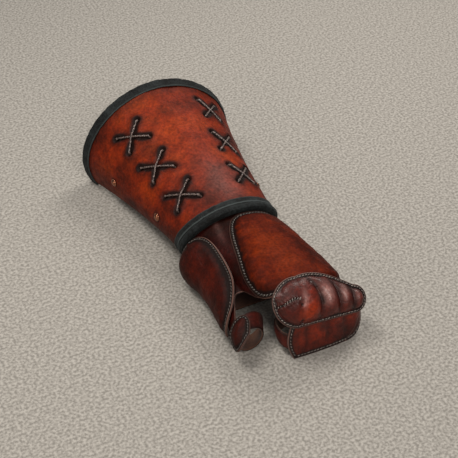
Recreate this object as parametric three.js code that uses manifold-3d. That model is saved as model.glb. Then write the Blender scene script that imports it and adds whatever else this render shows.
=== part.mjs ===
// Left-hand leather gauntlet: a flared forearm cuff and a plated glove body, standing palm down.
// Millimetres. +Z is up, out of the back of the hand. The fingers point to -Y and the thumb is at -X.
import * as THREE from "three";
import { mergeVertices } from "three/addons/utils/BufferGeometryUtils.js";
import Module from "manifold-3d";

const wasm = await Module();
wasm.setup();

// Leather thicknesses and the gap that touching pieces keep
const cuffWall = 3;
const plateWall = 2.4;
const bodyWall = 1.5;
const bindingWall = 1.3;
const strapWall = 2;
const seatGap = 0.3;

// Cuff: an oval cone that flares from the wrist to the rim, open underneath
const cuffLength = 183.6;
const rimHalfWidth = 83;
const rimHalfHeight = 75;
const wristHalfWidth = 51.2;
const wristHalfHeight = 36.3;
const cuffAxisHeight = 30;
const cuffWristY = 13.2;
const cuffShift = 3.6;
const wristSlant = 17.8;
const cuffFlare = 0.48;
const ovalPower = 1.91;
const edgeAngle = 114.5;

// Black binding at the rim and the two-part band at the wrist
const rimBindingWidth = 9.5;
const bandWidth = 14;
const bandInnerWidth = 9;
const bandRoll = 2.4;

// Lacing crosses: three on each side. Each row is a place along the cuff, the turn from the top in
// degrees and the share of the full width.
const crossHalfLength = 12;
const crossHalfWidth = 14;
const laceRadius = 0.9;
const crossRows = [
  { along: 0.25, turn: -38.5, wide: 1 },
  { along: 0.5, turn: -38.5, wide: 1 },
  { along: 0.745, turn: -37, wide: 1 },
  { along: 0.21, turn: 41, wide: 0.8 },
  { along: 0.465, turn: 41, wide: 0.8 },
  { along: 0.72, turn: 41, wide: 0.8 },
];

// Rivets and the straps that they hold across the open underside
const elbowRivetAngle = 88;
const wristRivetAngle = 82;
const rivetHeadRadius = 4;
const rivetHeadHeight = 2.2;
const elbowStrapAlong = 0.3;
const wristStrapAlong = 0.715;
const cuffStrapWidth = 20;
const strapLift = 3;
const claspLength = 26;
const claspWall = 3;

// Hand: an oval that narrows and rolls toward the little finger, joined to a round thumb root
const handStart = 24;
const handLength = 124;
const handHalfWidth = 41;
const handHalfHeight = 30;
const handShiftX = 13;
const knuckleShift = 15;
const knuckleRise = 6;
const knuckleRoll = -14;
const thumbRadius = 22;
const thumbReach = 33;
const thumbDrop = 7;
const handCentreZ = cuffAxisHeight;
// How round the hand's oval is, and how sharply the oval and the thumb's circle meet
const handOvalPower = 2.3;
const blendPower = 16;
const bodyLittleAngle = 108;
const bodyThumbAngle = -119;
// Each row is a place along the hand, from the wrist to the knuckles and past them. The columns are
// shares: shift of knuckleShift, rise of knuckleRise, width of handHalfWidth, height of
// handHalfHeight, roll of knuckleRoll, reach of thumbReach, drop of thumbDrop, thumb of thumbRadius.
const handSections = [
  { at: 0, shift: 0, rise: 0, width: 0.97, height: 0.95, roll: 0, reach: 0.75, drop: 0.5, thumb: 0.75 },
  { at: 0.12, shift: 0, rise: 0.04, width: 0.98, height: 0.97, roll: 0.1, reach: 1, drop: 0.9, thumb: 0.97 },
  { at: 0.4, shift: 0.25, rise: 0.3, width: 1, height: 1, roll: 0.4, reach: 0.82, drop: 1.15, thumb: 1 },
  { at: 0.7, shift: 0.65, rise: 0.9, width: 1, height: 0.88, roll: 0.75, reach: 0.9, drop: 1.5, thumb: 0.92 },
  { at: 1, shift: 1, rise: 1, width: 1, height: 0.76, roll: 1, reach: 1.24, drop: 2, thumb: 0.7 },
  { at: 1.12, shift: 1.1, rise: 1, width: 0.97, height: 0.7, roll: 1, reach: 1.32, drop: 2.2, thumb: 0.6 },
];

// How far the hand body reaches along the hand, by the turn from the top in degrees
const bodyEnds = [
  { at: -119, reach: 0.8 },
  { at: -112, reach: 0.98 },
  { at: -100, reach: 0.95 },
  { at: -86, reach: 0.7 },
  { at: -72, reach: 0.88 },
  { at: -55, reach: 0.94 },
  { at: 60, reach: 0.94 },
  { at: 108, reach: 0.84 },
];

// Plates on the hand body. Each has the shares of the hand's length that it runs between, how square
// its outline is, and rows of its two edges, in degrees from the top.
const flangeWidth = 5;
const plateRise = 3;
const dorsalPlate = {
  start: 0.094,
  end: 1.02,
  square: 5,
  lift: 0.7,
  edges: [
    { at: 0.0, near: -14, far: 94 },
    { at: 0.2, near: -29, far: 96 },
    { at: 0.46, near: -47, far: 98 },
    { at: 0.72, near: -67, far: 98 },
    { at: 1.02, near: -76, far: 96 },
  ],
};
const thumbPlate = {
  start: 0.07,
  end: 0.86,
  square: 3.2,
  lift: 1.7,
  edges: [
    { at: 0.0, near: -116, far: -55 },
    { at: 0.2, near: -119, far: -55 },
    { at: 0.42, near: -119, far: -61 },
    { at: 0.6, near: -119, far: -72 },
    { at: 0.75, near: -119, far: -86 },
    { at: 1.0, near: -119, far: -106 },
  ],
};

const plateRings = 6;
const dorsalColumns = 36;
const thumbColumns = 28;

// Thumb tip plate: a leaf on the thumb, placed like the other plates but by turns round the thumb
const tipPlate = { along: 0.985, turn: -46, halfLength: 14.5, halfWidth: 12.3, slant: 38 };
const tipRise = 1.5;

// Knuckle guard: a tapered capsule-shaped dome over the knuckles, in a plane that leans forward
const guardIndexX = 12.2;
const guardIndexY = -106.5;
const guardIndexZ = 51.3;
const guardSpan = 55.3;
const guardIndexRadius = 23;
const guardLittleRadius = 13;
const guardYaw = -9;
const guardDip = 11.5;
const guardLean = 40;
const guardBulge = 17;
const guardCrest = 6;
const guardSlimming = 0.7;
// A flat lip carries the guard's seam. The foot of the dome is at a share of the way to the rim.
const guardLip = 4;
const guardLipRise = 0.8;
const guardFootRing = 0.72;
const guardShoulder = 0.62;
// The index finger's dome is lower than the others by a share, as a dart closes it to a round end
const indexLow = 0.2;
const grooveDepth = 0.3;
const grooveWidth = 5;
// Each groove's place along the guard, as a share of its span from the index dome's centre, and its bow
const guardGrooves = [
  { place: 0.39, bow: 13 },
  { place: 0.715, bow: 10.5 },
  { place: 0.967, bow: 6 },
];
const drapeGap = 1.5;

// Finger plate: stands in front of the fingers with its foot on the floor, wraps the little finger
const fingerPlateTop = 37;
const fingerPlateDrop = 5;
const fingerPlateLeft = 3;
const fingerPlateRight = 80;
const fingerPlateFront = -126.2;
const fingerPlateLean = 7;
const fingerPlateBow = 5;
const fingerPlateSwell = 5;
const fingerPlateCorner = 18;
const fingerPlateRise = 14;

// Straps that hold the hand in
const strapLeave = 5;
// Shares of a strap's half length that end where it leaves the wall and where it is flat
const strapShareOnWall = 0.3;
const strapShareBent = 0.7;
const palmStrapAlong = 0.5;
const palmStrapWidth = 22;
const palmStrapDepth = bodyWall + 2 * seatGap;
const thumbStrapAlong = 0.93;
const thumbStrapWidth = 16;
const fingerStrapLow = 9;
const fingerStrapHeight = 16;
const fingerRoom = 27;

const degrees = Math.PI / 180;

// A value of a table's column at a place along it, on a smooth curve through the rows.
function column(rows, key, at) {
  const last = rows.length - 2;
  let i = 0;
  while (i < last && at > rows[i + 1].at) {
    i += 1;
  }
  const [p, q] = [rows[i], rows[i + 1]];
  const slope = (j) => {
    const [a, b] = [rows[Math.max(j - 1, 0)], rows[Math.min(j + 1, rows.length - 1)]];
    return (b[key] - a[key]) / (b.at - a.at);
  };
  const span = q.at - p.at;
  const t = (at - p.at) / span;
  const [m0, m1] = [slope(i) * span, slope(i + 1) * span];
  const bend = 2 * t ** 3 - 3 * t ** 2;
  return (bend + 1) * p[key] + (t ** 3 - 2 * t ** 2 + t) * m0 - bend * q[key] + (t ** 3 - t ** 2) * m1;
}

const mix = (a, b, t) => a + (b - a) * t;
const point = (x, y, z) => new THREE.Vector3(x, y, z);
const clamp = THREE.MathUtils.clamp;
const smooth = THREE.MathUtils.smoothstep;

// A geometry from points and triangles, turned so that its faces point out.
function geometryOf(points, faces) {
  let volume = 0;
  for (let i = 0; i < faces.length; i += 3) {
    const [a, b, c] = [points[faces[i]], points[faces[i + 1]], points[faces[i + 2]]];
    volume += a.dot(b.clone().cross(c));
  }
  if (volume < 0) {
    faces.reverse();
  }
  const geometry = new THREE.BufferGeometry().setFromPoints(points);
  geometry.setIndex(faces);
  geometry.computeVertexNormals();
  return geometry;
}

// Collects triangles between points. Points at one place are one, and triangles that a pole or a
// ridge flattens are left out.
const keyOf = (p) => p.toArray().map((n) => n.toFixed(4)).join();
function collector() {
  const points = [];
  const faces = [];
  const places = new Map();
  const place = (p) => {
    const key = keyOf(p);
    if (!places.has(key)) {
      places.set(key, points.length);
      points.push(p);
    }
    return places.get(key);
  };
  const triangle = (...corners) => {
    const [a, b, c] = corners.map(place);
    if (a !== b && b !== c && c !== a) {
      faces.push(a, b, c);
    }
  };
  const quad = (a, b, c, d) => {
    triangle(a, b, c);
    triangle(a, c, d);
  };
  return { points, faces, triangle, quad };
}

// A closed wall between an outer and an inner grid of points. A grid whose rows end where they start
// goes all the way round. `crowned` says that the first row is a pole or a ridge, with no edge there.
function wall(outer, inner, crowned = false) {
  const { points, faces, quad } = collector();
  const rows = outer.length - 1;
  const columns = outer[0].length - 1;
  for (let i = 0; i < rows; i += 1) {
    for (let j = 0; j < columns; j += 1) {
      quad(outer[i][j], outer[i][j + 1], outer[i + 1][j + 1], outer[i + 1][j]);
      quad(inner[i][j], inner[i + 1][j], inner[i + 1][j + 1], inner[i][j + 1]);
    }
  }
  for (let j = 0; j < columns; j += 1) {
    if (!crowned) {
      quad(outer[0][j], inner[0][j], inner[0][j + 1], outer[0][j + 1]);
    }
    quad(outer[rows][j], outer[rows][j + 1], inner[rows][j + 1], inner[rows][j]);
  }
  const round = keyOf(outer[rows][0]) === keyOf(outer[rows][columns]);
  for (let i = 0; i < rows && !round; i += 1) {
    quad(outer[i][0], outer[i + 1][0], inner[i + 1][0], inner[i][0]);
    quad(outer[i][columns], inner[i][columns], inner[i + 1][columns], outer[i + 1][columns]);
  }
  return geometryOf(points, faces);
}

// A grid of points, rows by columns, from a function of two shares.
function grid(rows, columns, at) {
  return Array.from({ length: rows + 1 }, (_, i) =>
    Array.from({ length: columns + 1 }, (_, j) => at(i / rows, j / columns)),
  );
}

// A section carried along stations. Each station has an origin and the section's two directions.
function sweep(stations, section) {
  const { points, faces, triangle, quad } = collector();
  const rings = stations.map(({ origin, side, out }) =>
    section.map(([a, b]) => origin.clone().addScaledVector(side, a).addScaledVector(out, b)),
  );
  const count = section.length;
  for (let i = 0; i + 1 < rings.length; i += 1) {
    for (let j = 0; j < count; j += 1) {
      const k = (j + 1) % count;
      quad(rings[i][j], rings[i][k], rings[i + 1][k], rings[i + 1][j]);
    }
  }
  const flat = section.map(([a, b]) => new THREE.Vector2(a, b));
  const turned = THREE.ShapeUtils.isClockWise(flat);
  for (const [a, b, c] of THREE.ShapeUtils.triangulateShape(flat, [])) {
    const [p, q, r] = turned ? [c, b, a] : [a, b, c];
    const [first, last] = [rings[0], rings[rings.length - 1]];
    triangle(...(turned ? [first[p], first[q], first[r]] : [first[r], first[q], first[p]]));
    triangle(...(turned ? [last[r], last[q], last[p]] : [last[p], last[q], last[r]]));
  }
  return geometryOf(points, faces);
}

// A surface's outward normal, from small steps along its two parameters.
function normalOf(surface, a, b) {
  const step = 1e-3;
  const alongA = surface(a + step, b).sub(surface(a - step, b));
  const alongB = surface(a, b + step).sub(surface(a, b - step));
  return alongA.cross(alongB).normalize();
}

// A point at a height over a surface.
function over(surface, a, b, height) {
  return surface(a, b).addScaledVector(normalOf(surface, a, b), height);
}

// A closed geometry as a solid that can be joined or cut, and back again.
function solidOf(geometry) {
  const bare = new THREE.BufferGeometry();
  bare.setAttribute("position", geometry.getAttribute("position"));
  bare.setIndex(geometry.getIndex());
  const merged = mergeVertices(bare, 1e-4);
  return new wasm.Manifold(
    new wasm.Mesh({
      numProp: 3,
      vertProperties: new Float32Array(merged.getAttribute("position").array),
      triVerts: new Uint32Array(merged.getIndex().array),
    }),
  );
}

function geometryFrom(solid) {
  const mesh = solid.getMesh();
  const geometry = new THREE.BufferGeometry();
  geometry.setAttribute("position", new THREE.BufferAttribute(new Float32Array(mesh.vertProperties), 3));
  geometry.setIndex(new THREE.BufferAttribute(new Uint32Array(mesh.triVerts), 1));
  geometry.computeVertexNormals();
  return geometry;
}

const floorCutWidth = 600;
const floorCutDepth = 100;
// The part of a geometry that stands above the floor, cut flat where it rests.
function aboveFloor(geometry) {
  const below = new THREE.BoxGeometry(floorCutWidth, floorCutWidth, floorCutDepth);
  below.translate(0, 0, -floorCutDepth / 2);
  return geometryFrom(solidOf(geometry).subtract(solidOf(below)));
}

// The cuff's outer surface. `along` runs from the rim, 0, to the wrist, 1. `turn` is in degrees from
// the top, toward the little finger.
const cuffWristHalfWidth = wristHalfWidth - bindingWall - seatGap;
const cuffWristHalfHeight = wristHalfHeight - bindingWall - seatGap;
const cuffRimHalfWidth = rimHalfWidth - bindingWall - seatGap;
const cuffRimHalfHeight = rimHalfHeight - bindingWall - seatGap;
function cuffSurface(along, turn) {
  const [s, c] = [Math.sin(turn * degrees), Math.cos(turn * degrees)];
  const taper = along * (1 - cuffFlare) + cuffFlare * (1 - (1 - along) ** 2);
  const reach = (Math.abs(s) ** ovalPower + Math.abs(c) ** ovalPower) ** (-1 / ovalPower);
  const x = mix(cuffRimHalfWidth, cuffWristHalfWidth, taper) * s * reach;
  const z = mix(cuffRimHalfHeight, cuffWristHalfHeight, taper) * c * reach;
  const y = cuffWristY + cuffLength * (1 - along) + (wristSlant * (1 - c) * along) / 2;
  return point(x + handShiftX - cuffShift * (1 - along), y, z + cuffAxisHeight);
}
const cuffAt = (along, turn, height) => over(cuffSurface, along, turn, height);

function makeCuff() {
  const edge = (bindingWall + seatGap) / cuffLength;
  const at = (height) => (u, v) => cuffAt(mix(edge, 1 - edge, u), mix(-edgeAngle, edgeAngle, v), height);
  return aboveFloor(wall(grid(10, 30, at(0)), grid(10, 30, at(-cuffWall))));
}

// Stations along the cuff's rim or wrist edge, with the section's side direction into the cuff.
function edgeStations(along, into, count, reach) {
  return Array.from({ length: count + 1 }, (_, i) => {
    const turn = mix(-reach, reach, i / count);
    const origin = cuffSurface(along, turn);
    const side = cuffSurface(along + into * 1e-3, turn).sub(origin).normalize();
    return { origin, side, out: normalOf(cuffSurface, along, turn) };
  });
}

function makeRimBinding() {
  const far = rimBindingWidth;
  const near = -seatGap;
  const nose = -seatGap - bindingWall;
  const top = seatGap + bindingWall;
  const bottom = -cuffWall - seatGap;
  const section = [
    [far, seatGap], [far, top], [near, top], [nose, 0], [nose, -cuffWall], [near, bottom - bindingWall],
    [far, bottom - bindingWall], [far, bottom], [near, bottom], [near, seatGap],
  ];
  const edge = (bindingWall + seatGap) / cuffLength;
  return aboveFloor(sweep(edgeStations(edge, 1, 30, edgeAngle), section));
}

function makeWristBand() {
  const near = -seatGap;
  const nose = -seatGap - bindingWall;
  const top = seatGap + bindingWall;
  const bottom = -cuffWall - seatGap;
  const crease = bandWidth * 0.42;
  const section = [
    [bandWidth, seatGap], [bandWidth, top], [crease + 1, top], [crease, top - bindingWall * 0.4],
    [crease - 1.4, top + bandRoll * 0.35], [crease * 0.4, top + bandRoll * 0.5], [near, top],
    [nose, -cuffWall * 0.4], [near, bottom - bindingWall], [bandInnerWidth, bottom - bindingWall],
    [bandInnerWidth, bottom], [near, bottom], [near, seatGap],
  ];
  const edge = 1 - (bindingWall + seatGap) / cuffLength;
  return sweep(edgeStations(edge, -1, 30, edgeAngle), section);
}

// A cord lies across the cuff from corner to corner of its cross, and one passes over the other.
function makeCross({ along, turn, wide }) {
  const perDegree = cuffSurface(along, turn + 1).distanceTo(cuffSurface(along, turn));
  const strand = (slope, lift) => {
    const steps = 6;
    const stations = Array.from({ length: steps + 1 }, (_, i) => {
      const t = mix(-1, 1, i / steps);
      const u = along + (t * crossHalfLength) / cuffLength;
      const v = turn + (t * slope * wide * crossHalfWidth) / perDegree;
      const height = seatGap + laceRadius + lift * Math.exp(-((t * 4) ** 2));
      return { origin: cuffAt(u, v, height), out: normalOf(cuffSurface, u, v) };
    });
    stations.forEach((station, i) => {
      const [a, b] = [stations[Math.max(i - 1, 0)], stations[Math.min(i + 1, steps)]];
      station.side = b.origin.clone().sub(a.origin).cross(station.out).normalize();
    });
    const sides = 5;
    const section = Array.from({ length: sides }, (_, i) => [
      laceRadius * Math.cos((2 * Math.PI * i) / sides),
      laceRadius * Math.sin((2 * Math.PI * i) / sides),
    ]);
    return sweep(stations, section);
  };
  return geometryFrom(solidOf(strand(1, 0)).add(solidOf(strand(-1, laceRadius * 1.5))));
}

// A rivet on the cuff: a low dome with a flat underside on the leather.
function makeRivet(along, turn) {
  const profile = [
    [0, 0], [rivetHeadRadius, 0], [rivetHeadRadius, 0.5], [rivetHeadRadius * 0.8, rivetHeadHeight * 0.65],
    [rivetHeadRadius * 0.45, rivetHeadHeight * 0.93], [0, rivetHeadHeight],
  ].map(([r, h]) => new THREE.Vector2(r, h));
  const head = new THREE.LatheGeometry(profile, 12);
  const normal = normalOf(cuffSurface, along, turn);
  head.applyQuaternion(new THREE.Quaternion().setFromUnitVectors(point(0, 1, 0), normal));
  const seat = cuffAt(along, turn, seatGap + 0.1);
  head.translate(seat.x, seat.y, seat.z);
  return head;
}

// The hand's leather body: round the hand's centre, the farther of the hand's oval and the thumb's
// circle, blended. `turn` is in degrees from the top, toward the little finger.
function handCentre(at) {
  const x = handShiftX + knuckleShift * column(handSections, "shift", at);
  const z = handCentreZ + knuckleRise * column(handSections, "rise", at);
  return point(x, handStart - handLength * at, z);
}
function thumbCentre(at) {
  const x = handShiftX - thumbReach * column(handSections, "reach", at);
  const z = handCentreZ - thumbDrop * column(handSections, "drop", at);
  return point(x, handStart - handLength * at, z);
}
function handSurface(at, turn) {
  const centre = handCentre(at);
  const roll = knuckleRoll * column(handSections, "roll", at);
  const [s, c] = [Math.sin((turn + roll) * degrees), Math.cos((turn + roll) * degrees)];
  const halfWidth = handHalfWidth * column(handSections, "width", at);
  const halfHeight = handHalfHeight * column(handSections, "height", at);
  const oval = (Math.abs(s / halfWidth) ** handOvalPower + Math.abs(c / halfHeight) ** handOvalPower)
    ** (-1 / handOvalPower);
  const radius = thumbRadius * column(handSections, "thumb", at);
  const away = thumbCentre(at).sub(centre);
  const [dx, dz] = [Math.sin(turn * degrees), Math.cos(turn * degrees)];
  const ahead = away.x * dx + away.z * dz;
  const beside = Math.abs(away.x * dz - away.z * dx);
  const past = Math.max(beside - radius, 0);
  const ball = Math.max(ahead + Math.sqrt(Math.max(radius ** 2 - beside ** 2, 0)) - 3 * past, 1);
  const reach = (oval ** blendPower + ball ** blendPower) ** (1 / blendPower);
  return point(centre.x + dx * reach, centre.y, centre.z + dz * reach);
}
const handAt = (at, turn, height) => over(handSurface, at, turn, height);

// How far along the hand its body reaches, by the turn: short at the web between thumb and hand.
function bodyReach(turn) {
  return column(bodyEnds, "reach", turn);
}

function makeHandBody() {
  const at = (height) => (u, v) => {
    const turn = mix(bodyThumbAngle, bodyLittleAngle, v);
    return handAt(u * bodyReach(turn), turn, height);
  };
  return wall(grid(10, 34, at(0)), grid(10, 34, at(-bodyWall)));
}

// How far a plate's middle stands over its stitched flange, from the distance to its edge.
const swell = (inset, rise) => rise * smooth(inset, flangeWidth * 0.6, flangeWidth * 2.2);

// A plate on the hand body: an outline with rounded corners, a flat flange and a raised middle.
function makePlate({ start, end, square, lift, edges }, rows, columns) {
  const at = (height) => (ring, round) => {
    const angle = 2 * Math.PI * round;
    const [s, c] = [Math.sin(angle), Math.cos(angle)];
    const reach = ring * (Math.abs(s) ** square + Math.abs(c) ** square) ** (-1 / square);
    const along = mix(start, end, (1 + reach * c) / 2);
    const [near, far] = [column(edges, "near", along), column(edges, "far", along)];
    const turn = mix(near, far, (1 + reach * s) / 2);
    const halfSize = Math.min((end - start) * handLength, (far - near) * degrees * handHalfWidth) / 2;
    return handAt(along, turn, lift + height + swell((1 - ring) * halfSize, plateRise));
  };
  return wall(grid(rows, columns, at(plateWall)), grid(rows, columns, at(0)), true);
}

// The thumb's own round surface, `turn` in degrees from the top toward the little finger.
function thumbSurface(at, turn) {
  const radius = thumbRadius * column(handSections, "thumb", at);
  const [dx, dz] = [Math.sin(turn * degrees), Math.cos(turn * degrees)];
  return thumbCentre(at).add(point(dx * radius, 0, dz * radius));
}

// The leaf-shaped plate at the thumb's tip. Its long axis slants down round the thumb.
function makeTipPlate() {
  const { along, turn, halfLength, halfWidth, slant } = tipPlate;
  const [s, c] = [Math.sin(slant * degrees), Math.cos(slant * degrees)];
  const perDegree = thumbSurface(along, 0).distanceTo(thumbSurface(along, 1));
  const at = (height) => (ring, round) => {
    const angle = 2 * Math.PI * round;
    const u = ring * halfLength * Math.cos(angle);
    const v = ring * halfWidth * Math.sin(angle) * (1 - 0.2 * Math.abs(Math.cos(angle)));
    const lift = seatGap * 2 + height + swell((1 - ring) * halfWidth, tipRise);
    const [place, side] = [along + (u * c + v * s) / handLength, turn + (v * c - u * s) / perDegree];
    return over(thumbSurface, place, side, lift);
  };
  return wall(grid(5, 20, at(plateWall)), grid(5, 20, at(0)), true);
}

// The guard's directions: along the knuckles, out of the dome, and from the back of the hand to the seam.
const guardAlong = point(
  Math.cos(guardYaw * degrees) * Math.cos(guardDip * degrees),
  Math.sin(guardYaw * degrees) * Math.cos(guardDip * degrees),
  -Math.sin(guardDip * degrees),
);
const guardOut = point(0, -Math.cos(guardLean * degrees), Math.sin(guardLean * degrees))
  .projectOnPlane(guardAlong)
  .normalize();
const guardAcross = guardOut.clone().cross(guardAlong).negate();
const guardCentre = point(guardIndexX, guardIndexY, guardIndexZ);

// The guard's rim, once round it in four stretches: the seam, the little finger's end, the back of
// the hand and the index end. It gives the place on the middle line and the way from there.
const guardStretches = { straight: 14, little: 8, index: 16 };
const guardColumns = 2 * guardStretches.straight + guardStretches.little + guardStretches.index;
function guardRim(round) {
  const { straight, little, index } = guardStretches;
  let place = (round - Math.floor(round)) * guardColumns;
  if (place < straight) {
    const t = place / straight;
    return { middle: t, angle: 90, radius: mix(guardIndexRadius, guardLittleRadius, t) };
  }
  place -= straight;
  if (place < little) {
    return { middle: 1, angle: 90 - (180 * place) / little, radius: guardLittleRadius };
  }
  place -= little;
  if (place < straight) {
    const t = 1 - place / straight;
    const crest = guardCrest * Math.sin(Math.PI * t ** 0.8);
    return { middle: t, angle: -90, radius: mix(guardIndexRadius, guardLittleRadius, t) + crest };
  }
  place -= straight;
  return { middle: 0, angle: -90 - (180 * place) / index, radius: guardIndexRadius };
}

// A point kept over the dorsal plate: where it is nearer to the hand's middle line than the plate's
// top and a gap, it moves straight out to there. Past the plate's end nothing is moved.
function draped(p, height) {
  const at = (handStart - p.y) / handLength;
  const middle = handCentre(at);
  const away = p.clone().sub(middle);
  const radius = Math.hypot(away.x, away.z);
  const turn = Math.atan2(away.x, away.z) / degrees;
  const skin = handSurface(at, turn).distanceTo(middle);
  const top = dorsalPlate.lift + plateWall + swell((dorsalPlate.end - at) * handLength, plateRise);
  const fade = (1 - smooth(at, dorsalPlate.end, dorsalPlate.end + 0.05)) * smooth(turn, -66, -50);
  const push = Math.max(skin + top + drapeGap + height - radius, 0) * fade;
  return middle.addScaledVector(away, 1 + push / radius);
}

// The guard's section from its ridge, 0, to its rim, 1: the way out from the ridge and the height.
// A dome ends at its foot, and a flat stitched lip runs from there to the rim.
function guardProfile(ring, radius, crown) {
  const foot = 1 - guardLip / radius;
  const past = clamp((ring - guardFootRing) / (1 - guardFootRing), 0, 1);
  const x = Math.sin((Math.PI / 2) * Math.min(ring / guardFootRing, 1));
  const dome = Math.max(crown - plateWall - guardLipRise, 0) * (1 - x * x) ** guardShoulder;
  return {
    reach: radius * (foot * x + (1 - foot) * past),
    height: plateWall + guardLipRise * (1 - past) + dome,
  };
}

// The guard's surface. `ring` runs from the ridge, 0, to the rim, 1, and `round` all the way round. The
// grooves between the fingers bow toward the little finger. `inner` gives the side a wall's thickness in.
function guardSurface(ring, round, inner = false) {
  const { middle, angle, radius } = guardRim(round);
  const [c, s] = [Math.cos(angle * degrees), Math.sin(angle * degrees)];
  const { reach } = guardProfile(ring, radius, guardBulge);
  const w = middle * guardSpan + reach * c;
  const q = reach * s;
  const dent = guardGrooves.reduce((sum, { place, bow }) => {
    const past = w + bow * ((q - 6) / 29) ** 2 - place * guardSpan;
    return sum + Math.exp(-((past / grooveWidth) ** 2));
  }, 0);
  const slim = mix(1, guardLittleRadius / guardIndexRadius, clamp(w / guardSpan, 0, 1) * guardSlimming);
  const low = indexLow * (1 - smooth(w, -2, guardGrooves[0].place * guardSpan));
  const crown = guardBulge * slim * (1 - low) * (1 - grooveDepth * dent);
  const { height } = guardProfile(ring, radius, crown);
  const before = guardProfile(Math.max(ring - 0.04, 0), radius, crown);
  const after = guardProfile(Math.min(ring + 0.04, 1), radius, crown);
  const run = after.reach - before.reach;
  const drop = ring === 0 ? 0 : before.height - after.height;
  const inset = (inner ? plateWall : 0) / Math.hypot(run, drop);
  const point = guardCentre
    .clone()
    .addScaledVector(guardAlong, w - inset * drop * c)
    .addScaledVector(guardAcross, q - inset * drop * s)
    .addScaledVector(guardOut, height - inset * run);
  return draped(point, inner ? 0 : plateWall);
}

function makeGuard() {
  const inside = (ring, round) => guardSurface(ring, round, true);
  return wall(grid(7, guardColumns, guardSurface), grid(7, guardColumns, inside), true);
}

// The finger plate's outer surface. `share` runs along it from its free edge by the index finger,
// round the little finger's corner. `up` runs from the foot, 0, to the top edge under the guard, 1.
function fingerSurface(share, up) {
  const front = fingerPlateRight - fingerPlateCorner - fingerPlateLeft;
  const corner = (Math.PI / 2) * fingerPlateCorner;
  const length = share * (front + corner);
  const past = Math.max(length - front, 0) / fingerPlateCorner;
  const free = fingerPlateSwell * Math.sin(Math.PI * up) * (1 - smooth(share, 0, 0.5));
  const x = fingerPlateLeft - free + Math.min(length, front) + fingerPlateCorner * Math.sin(past);
  const middle = Math.min(length, front) / front - 0.6;
  const low = fingerPlateRise * smooth(share, 0.62, 1);
  const high = fingerPlateTop - fingerPlateDrop * share;
  const z = mix(low, high, up);
  const y = fingerPlateFront + (fingerPlateLean * z) / fingerPlateTop + fingerPlateBow * middle ** 2;
  return point(x, y + fingerPlateCorner * (1 - Math.cos(past)), z);
}

function makeFingerPlate() {
  const at = (depth) => (u, v) => over(fingerSurface, v, u, depth);
  return aboveFloor(wall(grid(6, 24, at(0)), grid(6, 24, at(-plateWall))));
}

// A strap that starts inside a wall on both sides and runs flat across the open underside. `place`
// gives a point at a share of the strap's width, a turn and a depth inside the wall.
function bridgeStrap(place, thumbTurns, littleTurns) {
  const at = (depth) => (u, v) => {
    const near = v < 0.5;
    const [start, leave] = near ? thumbTurns : littleTurns;
    const t = 1 - Math.abs(2 * v - 1);
    const last = place(u, leave, depth);
    if (t < strapShareOnWall) {
      return place(u, mix(start, leave, t / strapShareOnWall), depth);
    }
    const before = place(u, leave - Math.sign(leave) * 0.5, depth);
    const heading = last.clone().sub(before).normalize();
    const flat = strapLift + depth;
    const run = (last.z - flat) / -heading.z;
    const corner = last.clone().addScaledVector(heading, run);
    const landing = point(corner.x + (near ? run : -run), corner.y, flat);
    const bend = (t - strapShareOnWall) / (strapShareBent - strapShareOnWall);
    if (bend < 1) {
      const a = last.lerp(corner, bend);
      return a.lerp(corner.lerp(landing, bend), bend);
    }
    const middle = point(strapMiddleX(u, place, thumbTurns, littleTurns), landing.y, flat);
    return landing.lerp(middle, (t - strapShareBent) / (1 - strapShareBent));
  };
  return wall(grid(2, 28, at(0)), grid(2, 28, at(strapWall)));
}

function strapMiddleX(u, place, thumbTurns, littleTurns) {
  return (place(u, thumbTurns[1], 0).x + place(u, littleTurns[1], 0).x) / 2;
}

function makeCuffStrap(along, rivetTurn) {
  const place = (u, turn, depth) =>
    cuffAt(along + ((u - 0.5) * cuffStrapWidth) / cuffLength, turn, -cuffWall - seatGap - depth);
  const start = rivetTurn - strapLeave * 1.6;
  const leave = edgeAngle - strapLeave;
  return bridgeStrap(place, [-start, -leave], [start, leave]);
}

// A plain one-piece clasp: a plate with rounded corners under the strap's middle.
function makeClasp(along) {
  const half = claspLength / 2;
  const deep = cuffStrapWidth / 2 + claspWall;
  const shape = new THREE.Shape();
  shape.moveTo(-half + claspWall, -deep);
  shape.lineTo(half - claspWall, -deep);
  shape.quadraticCurveTo(half, -deep, half, -deep + claspWall);
  shape.lineTo(half, deep - claspWall);
  shape.quadraticCurveTo(half, deep, half - claspWall, deep);
  shape.lineTo(-half + claspWall, deep);
  shape.quadraticCurveTo(-half, deep, -half, deep - claspWall);
  shape.lineTo(-half, -deep + claspWall);
  shape.quadraticCurveTo(-half, -deep, -half + claspWall, -deep);
  const thick = strapLift - 2 * seatGap;
  const plate = new THREE.ExtrudeGeometry(shape, { depth: thick, bevelEnabled: false, curveSegments: 3 });
  const side = cuffSurface(along, edgeAngle - strapLeave);
  const centre = cuffSurface(along, 0).x;
  plate.translate(centre, side.y, seatGap);
  return plate;
}

function makePalmStrap() {
  const place = (u, turn, depth) =>
    handAt(palmStrapAlong + ((u - 0.5) * palmStrapWidth) / handLength, turn, -palmStrapDepth - depth);
  return bridgeStrap(place, [-100, bodyThumbAngle + strapLeave], [84, bodyLittleAngle - strapLeave]);
}

// The thumb's strap: round the underside, with both ends inside the body's thumb part.
function makeThumbStrap() {
  const at = (depth) => (u, v) => {
    const along = thumbStrapAlong + ((u - 0.5) * thumbStrapWidth) / handLength;
    return over(thumbSurface, along, mix(-30, 235, v), -bodyWall - 2 * seatGap - depth);
  };
  return wall(grid(2, 24, at(0)), grid(2, 24, at(strapWall)));
}

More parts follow.
